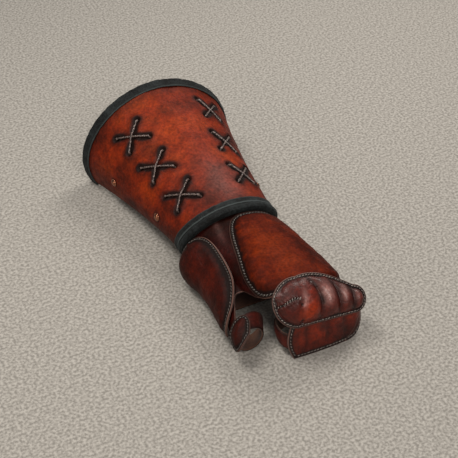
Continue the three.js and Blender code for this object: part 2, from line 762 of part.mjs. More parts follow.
// The fingers' strap: from inside the finger plate's free edge, back and across behind the fingers,
// to inside the plate's little-finger end.
function makeFingerStrap() {
  const high = fingerStrapLow + fingerStrapHeight;
  const inside = (share, z) => {
    const up = z / fingerPlateTop;
    return over(fingerSurface, share, up, -plateWall - 2.5 * seatGap - strapWall / 2);
  };
  const route = (z) => {
    const [a, b] = [inside(0.12, z), inside(0.03, z)];
    const d = inside(0.97, z);
    const back = b.y + fingerRoom;
    return new THREE.CatmullRomCurve3([
      a, b, point(b.x - 5, b.y + fingerRoom * 0.3, z), point(b.x - 2, back - 5, z), point(b.x + 12, back, z),
      point(mix(b.x, d.x, 0.5), back + 2, z), point(d.x - 14, back, z),
      point(d.x - 3, mix(back, d.y, 0.4), z),
      d,
    ], false, "centripetal");
  };
  const curves = [route(fingerStrapLow), route(mix(fingerStrapLow, high, 0.5)), route(high)];
  const at = (side) => (u, v) => {
    const curve = curves[Math.round(u * 2)];
    const heading = curve.getTangent(v);
    const across = point(-heading.y, heading.x, 0).normalize();
    return curve.getPoint(v).addScaledVector(across, (side * strapWall) / 2);
  };
  return wall(grid(2, 36, at(1)), grid(2, 36, at(-1)));
}

const colours = { leather: 0x7a2a16, suede: 0x24282a, cord: 0x3a3232, metal: 0x8a5236, strap: 0x5a2014 };
const inner = new THREE.Group();
function add(name, geometry, colour, metalness = 0, roughness = 0.6) {
  const material = new THREE.MeshStandardMaterial({ color: colour, metalness, roughness });
  const mesh = new THREE.Mesh(geometry, material);
  mesh.name = name;
  inner.add(mesh);
}

add("cuff", makeCuff(), colours.leather);
add("rim_binding", makeRimBinding(), colours.suede, 0, 0.9);
add("wrist_band", makeWristBand(), colours.suede, 0, 0.9);
crossRows.forEach((row, i) => add(`lacing_${i + 1}`, makeCross(row), colours.cord));
[
  ["elbow", elbowStrapAlong, elbowRivetAngle],
  ["wrist", wristStrapAlong, wristRivetAngle],
].forEach(([name, along, turn]) => {
  add(`rivet_${name}_thumb_side`, makeRivet(along, -turn), colours.metal, 1, 0.3);
  add(`rivet_${name}_little_side`, makeRivet(along, turn), colours.metal, 1, 0.3);
  add(`strap_${name}`, makeCuffStrap(along, turn), colours.strap);
  add(`clasp_${name}`, makeClasp(along), colours.metal, 1, 0.3);
});
add("hand_body", makeHandBody(), colours.leather);
add("dorsal_plate", makePlate(dorsalPlate, plateRings, dorsalColumns), colours.leather);
add("thumb_plate", makePlate(thumbPlate, plateRings, thumbColumns), colours.leather);
add("thumb_tip_plate", makeTipPlate(), colours.leather);
add("knuckle_guard", makeGuard(), colours.leather);
add("finger_plate", makeFingerPlate(), colours.leather);
add("palm_strap", makePalmStrap(), colours.strap);
add("thumb_strap", makeThumbStrap(), colours.strap);
add("finger_strap", makeFingerStrap(), colours.strap);

// The origin is at the middle of the bottom of the whole box.
const box = new THREE.Box3().setFromObject(inner, true);
inner.position.set(-(box.min.x + box.max.x) / 2, -(box.min.y + box.max.y) / 2, -box.min.z);

const group = new THREE.Group();
group.add(inner);
export default group;
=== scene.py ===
# %% [markdown]
# # A left-hand leather gauntlet
# A flared forearm cuff of thick red-brown leather, laced with dark cord, joined to a glove body that
# carries moulded and stitched plates. It lies palm down on a pale floor.
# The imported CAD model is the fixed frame. Every piece here is a finer surface in the same place.

# %% Load the frame
from functools import partial
import bpy
import bmesh
import numpy as np
from mathutils import Matrix, Vector


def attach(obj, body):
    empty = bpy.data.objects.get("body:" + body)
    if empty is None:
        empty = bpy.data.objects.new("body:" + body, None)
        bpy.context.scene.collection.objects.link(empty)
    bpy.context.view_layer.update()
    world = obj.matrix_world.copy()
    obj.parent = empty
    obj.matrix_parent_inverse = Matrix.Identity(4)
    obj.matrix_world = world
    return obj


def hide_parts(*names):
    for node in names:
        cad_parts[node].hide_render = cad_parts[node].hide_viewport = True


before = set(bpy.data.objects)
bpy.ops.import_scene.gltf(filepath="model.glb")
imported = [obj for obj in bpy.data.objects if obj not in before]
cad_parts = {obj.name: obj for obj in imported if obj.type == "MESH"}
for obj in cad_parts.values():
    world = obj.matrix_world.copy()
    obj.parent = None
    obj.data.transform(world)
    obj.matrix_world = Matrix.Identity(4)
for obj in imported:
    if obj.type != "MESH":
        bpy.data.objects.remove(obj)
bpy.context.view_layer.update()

# %% [markdown]
# ## Camera
# The photograph looks down at the gauntlet from in front and from the thumb's side. The lens, the
# distance and the direction were worked out from the outlines of the cuff and its two round edges.
# A matrix with the camera's right, up and back directions as columns says exactly where it points.

# %% Camera
image_pixels = 458
focal_pixels = 1150.0
sensor_mm = 36.0
camera_back = Vector((-0.3378, -0.6801, 0.6507)).normalized()
camera_target = Vector((-0.00943, -0.03575, 0.0586))
camera_distance = 1.0695
camera_right = Vector((0, 0, 1)).cross(camera_back).normalized()
camera_up = camera_back.cross(camera_right)

camera = bpy.data.objects.new("camera", bpy.data.cameras.new("camera"))
bpy.context.scene.collection.objects.link(camera)
camera.data.sensor_width = sensor_mm
camera.data.lens = sensor_mm * focal_pixels / image_pixels
camera.matrix_world = Matrix.Translation(camera_target + camera_back * camera_distance) @ Matrix(
    (camera_right, camera_up, camera_back)
).transposed().to_4x4()
bpy.context.scene.camera = camera
print("lens", round(camera.data.lens, 1), "mm")

# %% [markdown]
# ## Materials toolbox
# One function turns a colour from sRGB hex to the linear values that Blender calculates with, and one
# adds a node with its settings and links. A colour is built up in layers, as it is on the leather: each
# layer covers those below it by its share, or stains them.

# %% Colour and node helpers
def linear(hex_colour):
    """The sRGB curve undone: c / 12.92 below 0.04045, and ((c + 0.055) / 1.055) ** 2.4 above."""
    srgb = np.array([int(hex_colour[i : i + 2], 16) for i in (0, 2, 4)]) / 255
    rgb = np.where(srgb <= 0.04045, srgb / 12.92, ((srgb + 0.055) / 1.055) ** 2.4)
    return (*rgb.tolist(), 1.0)


def add_node(tree, kind, inputs=(), **settings):
    """Adds a node with its own settings. Its inputs come by name or in order, and each is a value, a
    socket, or another node, whose first output in use is linked."""
    node = tree.nodes.new("ShaderNode" + kind)
    for key, value in settings.items():
        setattr(node, key, value)
    for key, value in inputs.items() if isinstance(inputs, dict) else enumerate(inputs):
        if isinstance(value, bpy.types.Node):
            value = next(socket for socket in value.outputs if socket.enabled)
        if isinstance(value, bpy.types.NodeSocket):
            tree.links.new(value, node.inputs[key])
        else:
            node.inputs[key].default_value = value
    return node


def new_material(name):
    """A material with an empty tree, the function that adds nodes to it, and its object coordinates."""
    material = bpy.data.materials.new(name)
    material.use_nodes = True
    material.node_tree.nodes.clear()
    add = partial(add_node, material.node_tree)
    return material, add, add("TexCoord").outputs["Object"]


def shaded(material, add, inputs):
    """Ends a material with its shader and its output."""
    add("OutputMaterial", {"Surface": add("BsdfPrincipled", inputs)})
    print("material", material.name)
    return material


def layered(add, colour, *layers):
    """Lays each colour over those before it by its share. MULTIPLY stains them instead."""
    for share, layer, *kind in layers:
        colour = add("Mix", {0: share, 6: colour, 7: layer}, data_type="RGBA", blend_type=(*kind, "MIX")[0])
    return colour


def grain_of(place, size_mm, detail, roughness=0.5):
    """A noise's inputs for features of a size in millimetres, as object coordinates are in metres."""
    return {"Vector": place, "Scale": 1000.0 / size_mm, "Detail": detail, "Roughness": roughness}

# %% [markdown]
# ## Waxed leather
# Vegetable-tanned cowhide, dyed by hand in several passes, then waxed and rubbed. The dye sinks in
# unevenly, so the colour drifts over a few centimetres and again over a few millimetres. Edges and
# stitched borders get a nearly black second dye. The same black is also painted as shade in valleys,
# grooves, creases and on flanks turned from the light. The grain is fine pores, which wax leaves half
# glossy, and glossier where the leather is rubbed most; a pale sheen painted there stands for a highlight.
# One function makes all the leathers, since they differ in colour and polish only. Each piece paints
# four attributes: black dye and painted shade, a pale cut edge and a painted highlight on the wrist band,
# amber (rubbed back to orange), and polish, which lowers the roughness and lays a painted sheen.
# Real pores are about 0.4 mm apart. They are drawn at 1.3 mm and pebbles at 2.6 mm so that they show.
# In the Map Range nodes, the five inputs in order are the value, its low and high, and the new ones.

# %% Waxed leather
pore_mm, pebble_mm, mottle_mm, crease_mm, drift_mm = 1.3, 2.6, 8.0, 16.0, 45.0
# The near-black is dye and also painted shade; the pale pink is a painted sheen.
black_dye_and_shade, cut_edge, painted_sheen_colour = linear("140a08"), linear("8f6a5f"), linear("c89c95")


def waxed_leather(name, deep, middle, bright, amber, roughness, shine=0.3, coat=0.0):
    """Colour from three noises and the painted layers, height from pores, pebbles and creases."""
    material, add, place = new_material(name)
    paint = {key: add("Attribute", attribute_name=key).outputs["Fac"]
             for key in ("dye_and_shade", "wear_and_highlight", "amber", "polish_and_painted_sheen")}
    tones = add("ValToRGB", [add("TexNoise", grain_of(place, drift_mm, 4.0, 0.6))])
    stops = tones.color_ramp.elements
    stops[0].position, stops[0].color = 0.36, linear(deep)
    stops[1].position, stops[1].color = 0.66, linear(bright)
    stops.new(0.5).color = linear(middle)
    mottle = add("TexNoise", grain_of(place, mottle_mm, 5.0, 0.65))
    pebbles = add("TexNoise", grain_of(place, pebble_mm, 2.0))
    # Painted sheen: where the polish attribute is high, a pale pink is laid over the colour as a highlight.
    painted_sheen = add("Math", [paint["polish_and_painted_sheen"], add("MapRange", [pebbles, 0.3, 0.7, 0.34, 0.74])], operation="MULTIPLY")
    colour = layered(add, tones, (paint["amber"], linear(amber)),
                     (1.0, add("MapRange", [mottle, 0.3, 0.7, 0.68, 1.28]), "MULTIPLY"),
                     (1.0, add("MapRange", [pebbles, 0.32, 0.68, 0.72, 1.26]), "MULTIPLY"),
                     (painted_sheen, painted_sheen_colour), (paint["dye_and_shade"], black_dye_and_shade), (paint["wear_and_highlight"], cut_edge))
    pores = add("TexVoronoi", {"Vector": place, "Scale": 1000.0 / pore_mm})
    fine = add("Math", [pores, 0.5, pebbles], operation="MULTIPLY_ADD")
    creases = add("TexNoise", grain_of(place, crease_mm, 6.0, 0.7))
    height = add("Math", [creases, 2.2, fine], operation="MULTIPLY_ADD")
    dull = add("MapRange", [mottle, 0.3, 0.7, roughness + 0.1, roughness - 0.06])
    return shaded(material, add, {
        "Base Color": colour, "Roughness": add("Math", [paint["polish_and_painted_sheen"], -0.26, dull], operation="MULTIPLY_ADD"),
        "Normal": add("Bump", {"Height": height, "Distance": 0.00034, "Strength": 0.9}),
        "IOR": 1.45, "Specular IOR Level": shine, "Coat Weight": coat, "Coat Roughness": 0.2, "Coat IOR": 1.45})


cuff_leather = waxed_leather("waxed_cowhide_cuff", "4a1405", "742006", "8a2f07", "a03e08", 0.56, 0.16)
# The glove body is darker partly in its own colour and partly as painted shade, as it shows only in the narrow strip
# between the plates.
body_leather = waxed_leather("waxed_calf_glove_body", "1e0703", "2f0a06", "3c0d08", "4c1208", 0.5, 0.14)
plate_leather = waxed_leather("waxed_cowhide_back_plate", "3a0e03", "561703", "6a2204", "8c3206", 0.54, 0.07)
thumb_leather = waxed_leather("waxed_cowhide_thumb_plates", "2a0902", "390c04", "4a1205", "5c1908", 0.56, 0.14)
guard_leather = waxed_leather("polished_cowhide_knuckle_guard",
                              "3a110a", "54190f", "671f11", "8c2a07", 0.43, 0.34, 0.12)
finger_leather = waxed_leather("polished_cowhide_finger_plate",
                               "370c04", "571405", "721f07", "852808", 0.42, 0.34, 0.1)
strap_leather = waxed_leather("waxed_cowhide_straps", "2c0e09", "43140d", "531b10", "642217", 0.55)

# %% [markdown]
# ## Flesh side
# Inside, the leather shows its flesh side: unpolished, fuzzy and paler, browned by the dye that soaks
# through. It has no gloss, so its roughness is high, and a noise of about 2 mm stands for the nap.

# %% Flesh side of the leather
def flesh_side(name, dark, pale):
    """Two browns mixed by a soft noise, with a coarse nap as height."""
    material, add, place = new_material(name)
    nap = add("TexNoise", grain_of(place, 2.2, 6.0, 0.7))
    cloud = add("TexNoise", grain_of(place, 30.0, 4.0))
    blend = add("Math", [nap, 0.5, cloud], operation="MULTIPLY_ADD")
    return shaded(material, add, {
        "Base Color": layered(add, linear(dark), (add("MapRange", [blend, 0.5, 1.0]), linear(pale))),
        "Roughness": 0.92, "Normal": add("Bump", {"Height": nap, "Distance": 0.0003, "Strength": 0.7}),
        "Sheen Weight": 0.25, "Sheen Roughness": 0.5})


lining = flesh_side("flesh_side_of_cowhide", "3a2016", "6d4630")

# %% [markdown]
# ## Suede, cord, thread and metal
# The bindings are black suede: a short nap that scatters light, grey where it was brushed. The cord is
# waxed cotton and the thread waxed linen, both paler where the wax catches the light. Rivets are copper
# and clasps brass, both gone brown. A metal keeps its full metallic value, and its roughness varies.

# %% Suede
def brushed_suede(name):
    """Slate greys mixed by a noise of fibre tufts about 2.8 mm across, with the same noise as height."""
    material, add, place = new_material(name)
    tufts = add("TexNoise", grain_of(place, 2.8, 4.0, 0.8))
    clouds = add("TexNoise", grain_of(place, 14.0, 3.0))
    mixed = add("Math", [tufts, clouds], operation="MULTIPLY")
    # The dark and pale attributes bring dye and wear, and on the wrist band also painted shade and a painted
    # highlight.
    dye_and_shade, wear_and_highlight = (add("Attribute", attribute_name=key).outputs["Fac"] for key in ("dye_and_shade", "wear_and_highlight"))
    return shaded(material, add, {
        "Base Color": layered(add, linear("030404"), (add("MapRange", [mixed, 0.17, 0.36]), linear("232829")),
                              (dye_and_shade, linear("08090a")), (wear_and_highlight, linear("4a5252"))),
        "Roughness": 0.8, "Normal": add("Bump", {"Height": tufts, "Distance": 0.0009, "Strength": 1.0}),
        "Specular IOR Level": 0.25, "Sheen Weight": 0.08, "Sheen Roughness": 0.45,
        "Sheen Tint": linear("9aa6a6")})


suede = brushed_suede("black_brushed_suede")

# %% Cord, thread and metal
def waxed_fibre(name, dark, pale, roughness):
    """Dark wax in the hollows and pale fibre on top, from a noise of about 1.3 mm."""
    material, add, place = new_material(name)
    strands = add("TexNoise", grain_of(place, 1.3, 3.0))
    return shaded(material, add, {
        "Base Color": layered(add, linear(dark), (add("MapRange", [strands, 0.38, 0.62]), linear(pale))),
        "Roughness": roughness, "Normal": add("Bump", {"Height": strands, "Distance": 0.0002}),
        "Coat Weight": 0.3, "Coat Roughness": 0.3})


def aged_metal(name, dark, bright, roughness):
    """Full metallic, its colour and roughness varied by a noise of about 1.5 mm."""
    material, add, place = new_material(name)
    patina = add("TexNoise", grain_of(place, 1.5, 4.0))
    return shaded(material, add, {
        "Base Color": layered(add, linear(dark), (patina, linear(bright))), "Metallic": 1.0,
        "Roughness": add("MapRange", [patina, 0.0, 1.0, roughness + 0.15, roughness - 0.1])})


lace_cord = waxed_fibre("waxed_cotton_cord", "1a1211", "7a6862", 0.28)
linen_thread = waxed_fibre("waxed_linen_thread", "2c2220", "9a8d85", 0.34)
brown_thread = waxed_fibre("waxed_brown_linen_thread", "120c0a", "544b45", 0.3)
rivet_copper = aged_metal("aged_copper", "5a2c1e", "c88a6c", 0.16)
clasp_brass = aged_metal("aged_brass", "5d4528", "a98652", 0.4)

# %% [markdown]
# ## Surfaces
# All shapes are worked out in millimetres as whole arrays. A sheet of leather is two grids, its outer
# and inner side, that meet along a rounded edge. A table of shares with a smooth curve through its rows
# gives sizes that change along the hand, as in the CAD. A bell curve stands for every local mark, such
# as a dimple, a seam's groove or a stain.

# %% Tables, curves and noise
millimetre = 0.001
origin_shift = np.array([-9.434, -35.753, 0.0])
cuff_wall, plate_wall, body_wall, binding_wall, strap_wall = 3.0, 2.4, 1.5, 1.3, 2.0
seat_gap = 0.3


def smooth_table(knots, values, at):
    """A cubic through the rows, with the slope at a row taken from its two neighbours."""
    knots, values, at = (np.asarray(row, float) for row in (knots, values, at))
    row = np.arange(len(knots))
    after, before = np.minimum(row + 1, row[-1]), np.maximum(row - 1, 0)
    slopes = (values[after] - values[before]) / (knots[after] - knots[before])
    i = np.clip(np.searchsorted(knots, at) - 1, 0, row[-1] - 1)
    span = knots[i + 1] - knots[i]
    t = (at - knots[i]) / span
    bend = 2 * t**3 - 3 * t**2
    return ((bend + 1) * values[i] + (t**3 - 2 * t**2 + t) * slopes[i] * span
            - bend * values[i + 1] + (t**3 - t**2) * slopes[i + 1] * span)


def smooth_step(value, low, high):
    """3 t^2 - 2 t^3, where t goes from 0 at low to 1 at high."""
    t = np.clip((value - low) / (high - low), 0, 1)
    return t * t * (3 - 2 * t)


def bell(distance, width, power=2):
    """exp(-(distance / width)^2): 1 in the middle and nearly 0 two widths away."""
    return np.exp(-(np.abs(distance / width) ** power))


def waves(points, size, seed, count=9):
    """A sum of sine waves in random directions, with lengths from 0.7 to 1.5 times a size."""
    random = np.random.default_rng(seed)
    total = np.zeros(points.shape[:-1])
    for direction, stretch, start in zip(unit(random.normal(size=(count, 3))),
                                         random.uniform(0.7, 1.5, count),
                                         random.uniform(0, 2 * np.pi, count)):
        total += np.sin(2 * np.pi * (points @ direction) / (size * stretch) + start)
    return total / np.sqrt(count)

# %% Directions and distances
def stack(x, y, z):
    return np.stack(np.broadcast_arrays(x, y, z), axis=-1)


def unit(vectors):
    return vectors / np.maximum(np.linalg.norm(vectors, axis=-1, keepdims=True), 1e-12)


def sin_cos(degrees):
    return np.sin(np.radians(degrees)), np.cos(np.radians(degrees))


def normal_of(surface, a, b, step=1e-3):
    """The cross product of the surface's two directions, from small steps to each side."""
    along_a = surface(a + step, b) - surface(a - step, b)
    along_b = surface(a, b + step) - surface(a, b - step)
    return unit(np.cross(along_a, along_b))


def over(surface, a, b, height):
    return surface(a, b) + normal_of(surface, a, b) * np.asarray(height)[..., None]


def travelled(points):
    """How far each point of a line is from its start, along the line."""
    return np.concatenate([[0], np.cumsum(np.linalg.norm(np.diff(points, axis=0), axis=1))])


def from_segment(points, start, stop):
    """How far points are from a straight stretch, and the share of it at which they are nearest."""
    span = stop - start
    t = np.clip((points - start) @ span / (span @ span), 0, 1)
    return np.linalg.norm(points - start - t[..., None] * span, axis=-1), t

# %% Meshes from grids
weld_distance = 2e-6
grid_corners = np.array([[0, 0], [0, 1], [1, 1], [1, 0]])


def grid_faces(rows, columns, start=0, turned=False):
    """Four corners for each cell of a grid of points that are numbered row by row."""
    first = start + (np.arange(rows - 1)[:, None] * columns + np.arange(columns - 1)).ravel()
    faces = first[:, None] + grid_corners @ [columns, 1]
    return faces[:, ::-1] if turned else faces


def make_mesh(name, points, faces, materials, paints, slots=0):
    """Puts arrays into a mesh, welds points at one place, and turns the faces out."""
    mesh = bpy.data.meshes.new(name)
    mesh.vertices.add(len(points))
    mesh.vertices.foreach_set("co", ((points + origin_shift) * millimetre).astype(np.float32).ravel())
    mesh.loops.add(faces.size)
    mesh.loops.foreach_set("vertex_index", faces.astype(np.int32).ravel())
    mesh.polygons.add(len(faces))
    mesh.polygons.foreach_set("loop_start", np.arange(0, faces.size, faces.shape[1], dtype=np.int32))
    mesh.polygons.foreach_set("material_index", np.broadcast_to(slots, len(faces)).astype(np.int32))
    mesh.update(calc_edges=True)
    for paint, values in paints.items():
        layer = mesh.attributes.new(paint, "FLOAT", "POINT")
        layer.data.foreach_set("value", np.clip(values, 0, 1).astype(np.float32).ravel())
    solid = bmesh.new()
    solid.from_mesh(mesh)
    bmesh.ops.remove_doubles(solid, verts=solid.verts, dist=weld_distance)
    bmesh.ops.dissolve_degenerate(solid, dist=weld_distance / 20, edges=solid.edges)
    bmesh.ops.recalc_face_normals(solid, faces=solid.faces)
    for face in solid.faces:
        face.smooth = True
    solid.to_mesh(mesh)
    solid.free()
    piece = bpy.data.objects.new(name, mesh)
    bpy.context.scene.collection.objects.link(piece)
    for material in materials:
        mesh.materials.append(material)
    print(f"{name}: {len(mesh.polygons)} faces")
    return piece


def finish_piece(piece, slot, *nodes):
    """Every piece rides on the one body and stands for its CAD nodes. The slot is not used."""
    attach(piece, "root")
    if nodes:
        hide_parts(*nodes)


def surface_of(name, points, material, paints=None):
    """One closed grid as a mesh."""
    return make_mesh(name, points.reshape(-1, 3), grid_faces(*points.shape[:2]), [material], paints or {})


def tube_of(name, rings, material, paints=None):
    """Rings of points along a path. Each is closed on itself, and both ends are drawn shut."""
    def closed(rows):
        return np.concatenate([rows, rows[:, :1]], axis=1)
    shut = [np.broadcast_to(rings[i].mean(axis=0), (1, rings.shape[1] + 1, 3)) for i in (0, -1)]
    painted = {key: np.concatenate([closed(rows)[:1], closed(rows), closed(rows)[-1:]])
               for key, rows in (paints or {}).items()}
    return surface_of(name, np.concatenate([shut[0], closed(rings), shut[1]]), material, painted)

# %% Sheets with two sides
def round_edge(distance, radius):
    """How full the thickness is at a distance from the edge: a quarter of a rounded square."""
    inside = np.clip(1 - distance / radius, 0, 1)
    return (1 - inside**2.5) ** (1 / 2.5)


def edge_spaced(length, radius, count):
    """Places from 0 to a length, close together over the rounded edge at both ends."""
    near = radius * np.array([0, 0.03, 0.12, 0.3, 0.6])
    return np.concatenate([near, np.linspace(radius, length - radius, count), length - near[::-1]])


def two_sides(skin, outward, wall, dents, fullness):
    """Both sides of a wall that hangs from a skin: its middle, plus and minus half the wall."""
    middle = skin - outward * (wall / 2)
    return (middle + outward * ((wall / 2 + dents) * fullness)[..., None],
            middle - outward * (wall / 2 * fullness)[..., None])


def sheet_of(name, slot, outer, inner, leather, paints):
    """A sheet from its outer and inner grid, which meet at the border. The inner side is the flesh side."""
    rows, columns = outer.shape[:2]
    outside = grid_faces(rows, columns)
    faces = np.concatenate([outside, grid_faces(rows, columns, rows * columns, True)])
    painted = {key: np.concatenate([value.ravel(), value.ravel()]) for key, value in paints.items()}
    points = np.concatenate([outer.reshape(-1, 3), inner.reshape(-1, 3)])
    finish_piece(make_mesh(name, points, faces, [leather, lining], painted, np.repeat([0, 1], len(outside))),
                 slot, name)

# %% [markdown]
# ## Stitches
# Saddle stitching shows as a row of short, slightly slanted strokes of thick waxed thread. Each stitch
# is the same small spindle with 34 faces, set along a line on the leather, and a whole seam is one mesh.

# %% Stitches
stitch_t = np.array([-1, -0.8, -0.3, 0.3, 0.8, 1.0])
stitch_angle = np.linspace(0, 2 * np.pi, 7)[:-1]


def stitch_cells():
    """The faces of one spindle: rows of four-cornered faces, and two faces to close each end."""
    rows, columns = len(stitch_t), len(stitch_angle)
    row, column = (index.ravel()[:, None] for index in np.meshgrid(range(rows - 1), range(columns), indexing="ij"))
    sides = (row + grid_corners[:, 0]) * columns + (column + grid_corners[:, 1]) % columns
    caps = np.array([[0, 1, 2, 3], [0, 3, 4, 5]])
    return np.concatenate([sides, caps[:, ::-1], caps + (rows - 1) * columns])


def spindles(line, normals, spacing=3.1, length=2.7, radius=0.48, slant=14.0, lift=0.12):
    """Along a stitch, t goes from -1 to 1, the radius is r * sqrt(1 - t^4) and the middle stands up."""
    lengths = travelled(line)
    count = max(int(round(lengths[-1] / spacing)), 1)
    at = (np.arange(count) + 0.5) * lengths[-1] / count
    centres, ups = (np.stack([np.interp(at, lengths, rows[:, k]) for k in range(3)], axis=1)
                    for rows in (line, normals))
    heading = unit(np.gradient(centres, axis=0))
    ups = unit(ups - heading * np.sum(ups * heading, axis=1, keepdims=True))
    side = np.cross(ups, heading)
    s, c = sin_cos(slant)
    heading, side = heading * c + side * s, side * c - heading * s
    ring = radius * np.sqrt(np.maximum(1 - stitch_t**4, 0.02))[:, None]
    rise = ring * np.sin(stitch_angle) * 0.8 + lift - 0.35 * stitch_t[:, None] ** 2
    return (centres[:, None, None] + heading[:, None, None] * (stitch_t * length / 2)[:, None, None]
            + side[:, None, None] * (ring * np.cos(stitch_angle))[..., None]
            + ups[:, None, None] * rise[..., None])


def stitched(name, seams, material):
    """All the seams of a piece as one mesh. Each seam is a line, its normals and its own sizes."""
    points = np.concatenate([spindles(line, normals, **sizes) for line, normals, sizes in seams])
    each = points.shape[1] * points.shape[2]
    faces = (stitch_cells() + np.arange(len(points))[:, None, None] * each).reshape(-1, 4)
    finish_piece(make_mesh(name, points.reshape(-1, 3), faces, [material], {}), "lace_cord")

# %% [markdown]
# ## Cuff
# A forearm shell of 3 mm leather, open underneath, wet-moulded to an oval cone. It could be a bent
# plane with modifiers, but the rim, the wrist and every laced hole must sit where the CAD has them, so
# it is an oval whose size runs from the rim to the wrist. The laces pull the leather in, which gives a
# small dimple at each hole and a shallow valley under each cord.

# %% Cuff surface
cuff_length = 183.6
cuff_wrist_y = 13.2
rim_half = np.array([83.0, 75.0]) - binding_wall - seat_gap
wrist_half = np.array([51.2, 36.3]) - binding_wall - seat_gap
cuff_axis_height = 30.0
hand_x = 13.0
cuff_shift = 3.6
wrist_slant = 17.8
cuff_flare = 0.48
oval_power = 1.91
edge_angle = 114.5
cuff_edge = (binding_wall + seat_gap) / cuff_length


def cuff_surface(along, turn):
    """An oval |x/a|^p + |z/b|^p = 1 round the forearm, with a and b going from the rim's to the wrist's
    by a share that falls fast at the rim and slowly at the wrist. The wrist edge slants back below."""
    s, c = sin_cos(turn)
    taper = along * (1 - cuff_flare) + cuff_flare * (1 - (1 - along) ** 2)
    reach = (np.abs(s) ** oval_power + np.abs(c) ** oval_power) ** (-1 / oval_power)
    half = rim_half + (wrist_half - rim_half) * np.asarray(taper)[..., None]
    y = cuff_wrist_y + cuff_length * (1 - along) + wrist_slant * (1 - c) * along / 2
    return stack(half[..., 0] * s * reach + hand_x - cuff_shift * (1 - along), y,
                 half[..., 1] * c * reach + cuff_axis_height)


# %% Where the cords and the rivets go
cross_half_length, cross_half_width = 12.0, 14.0
lace_radius = 0.85
cross_rows = [(0.25, -38.5, 1.0), (0.5, -38.5, 1.0), (0.745, -37.0, 1.0),
              (0.21, 41.0, 0.8), (0.465, 41.0, 0.8), (0.72, 41.0, 0.8)]  # along, turn, share of the width
rivet_radius, rivet_height = 4.0, 2.2
strap_rows = {"elbow": (0.3, 88.0, 210), "wrist": (0.715, 82.0, 170)}  # along, rivet's turn, strap's length


def cord_place(row, slope, t):
    """A cord's place on the cuff at t from -1 to 1, as a share along it and a turn in degrees."""
    along, turn, wide = row
    per_degree = np.linalg.norm(cuff_surface(along, turn + 1) - cuff_surface(along, turn))
    return along + t * cross_half_length / cuff_length, turn + t * slope * wide * cross_half_width / per_degree


cords = [[cuff_surface(*cord_place(row, slope, t)) for t in (-1.0, 1.0)] for row in cross_rows for slope in (1, -1)]
rivet_seats = [cuff_surface(along, side * turn) for along, turn, _ in strap_rows.values() for side in (-1, 1)]
print(2 * len(cords), "laced holes")

# %% Cuff mesh
def cuff_dents(points):
    """Depth of the dimples at the holes and the valleys under the cords, and how near a cord is."""
    depth = 0.35 * waves(points, 55, 3) + 0.12 * waves(points, 19, 4)
    near_cord, near_hole = np.zeros((2, *points.shape[:-1]))
    for hole in np.concatenate(cords):
        away = np.linalg.norm(points - hole, axis=-1)
        depth += 0.55 * bell(away - 4.2, 1.8) - 1.5 * bell(away, 2.0)
        near_hole = np.maximum(near_hole, bell(away, 2.3, 4))
    for start, stop in cords:
        away, _ = from_segment(points, start, stop)
        depth += 0.5 * bell(away - 5.2, 2.2) - 1.1 * bell(away, 2.7)
        near_cord = np.maximum(near_cord, bell(away, 5.3))
    return depth, near_cord, near_hole


u = edge_spaced(cuff_length * (1 - 2 * cuff_edge), 1.5, 165) / cuff_length + cuff_edge
v = edge_spaced(2 * edge_angle, 1.5, 225) - edge_angle
along, turn = np.meshgrid(u, v, indexing="ij")
skin = cuff_surface(along, turn)
depth, near_cord, near_hole = cuff_dents(skin)
from_rim, from_wrist = (along - u[0]) * cuff_length, (u[-1] - along) * cuff_length
to_long_edge = (edge_angle - np.abs(turn)) * 1.2
fullness = round_edge(from_rim, 1.5) * round_edge(from_wrist, 1.5) * round_edge(to_long_edge, 1.5)
outer, inner = two_sides(skin, normal_of(cuff_surface, along, turn), cuff_wall,
                         depth * smooth_step(to_long_edge, 0, 6), fullness)

# %% Cuff paint
tide = 0.5 + 0.5 * waves(skin, 16, 8)
near_rivet = sum(bell(np.linalg.norm(skin - seat, axis=-1), rivet_radius * 1.7, 4) for seat in rivet_seats)
# Painted shade: both flanks past 62 degrees are darkened as they turn from the light. The rest is dye at the rivets,
# cords, holes, long edges and beside the bindings.
cuff_dye_and_shade = np.maximum.reduce([
    0.8 * near_rivet, np.clip(1.9 * near_cord * (0.55 + 0.45 * tide), 0, 0.98), near_hole,
    0.85 * bell(to_long_edge, 7), 0.6 * smooth_step(np.abs(turn), 62, 100) * (0.7 + 0.3 * tide),
    0.55 * bell(from_rim - 9, 9), 0.5 * bell(from_wrist - 13, 12) * (0.4 + 0.6 * tide)])
# The polish near the wrist also lays a painted sheen there.
sheet_of("cuff", "cuff_leather", outer, inner, cuff_leather, {
    "dye_and_shade": cuff_dye_and_shade, "wear_and_highlight": 0.4 * bell(to_long_edge - 0.9, 0.7),
    "amber": 0.3 * bell(along - 0.33, 0.3) * bell(turn + 22, 34) * (0.45 + 0.4 * tide),
    "polish_and_painted_sheen": 0.175 * bell(along - 0.79, 0.2) * bell(turn - 10, 19)})

# %% [markdown]
# ## Bindings
# The rim is bound with a strip of black suede folded over the edge and glued and stitched through. The
# wrist edge has a flat strip above and a fat rolled strip below, with a crease between them. Each is a
# closed section carried along the cuff's edge. The section's corners are rounded by smoothing the
# polygon of its corners, and small waves across it stand for the puckers that stitching leaves.

# %% Bindings
def rounded_section(corners, radius, steps=4):
    """Each corner of a closed polygon replaced by a short curve that starts a radius before it."""
    corners = np.asarray(corners, float)
    t = np.linspace(0, 1, steps)[:, None, None]

    def toward(other):
        gap = np.linalg.norm(other - corners, axis=1, keepdims=True)
        return corners + (other - corners) / gap * np.minimum(radius, gap * 0.48)

    first, last = toward(np.roll(corners, 1, axis=0)), toward(np.roll(corners, -1, axis=0))
    curve = (1 - t) ** 2 * first + 2 * t * (1 - t) * corners + t**2 * last
    return curve.transpose(1, 0, 2).reshape(-1, 2)


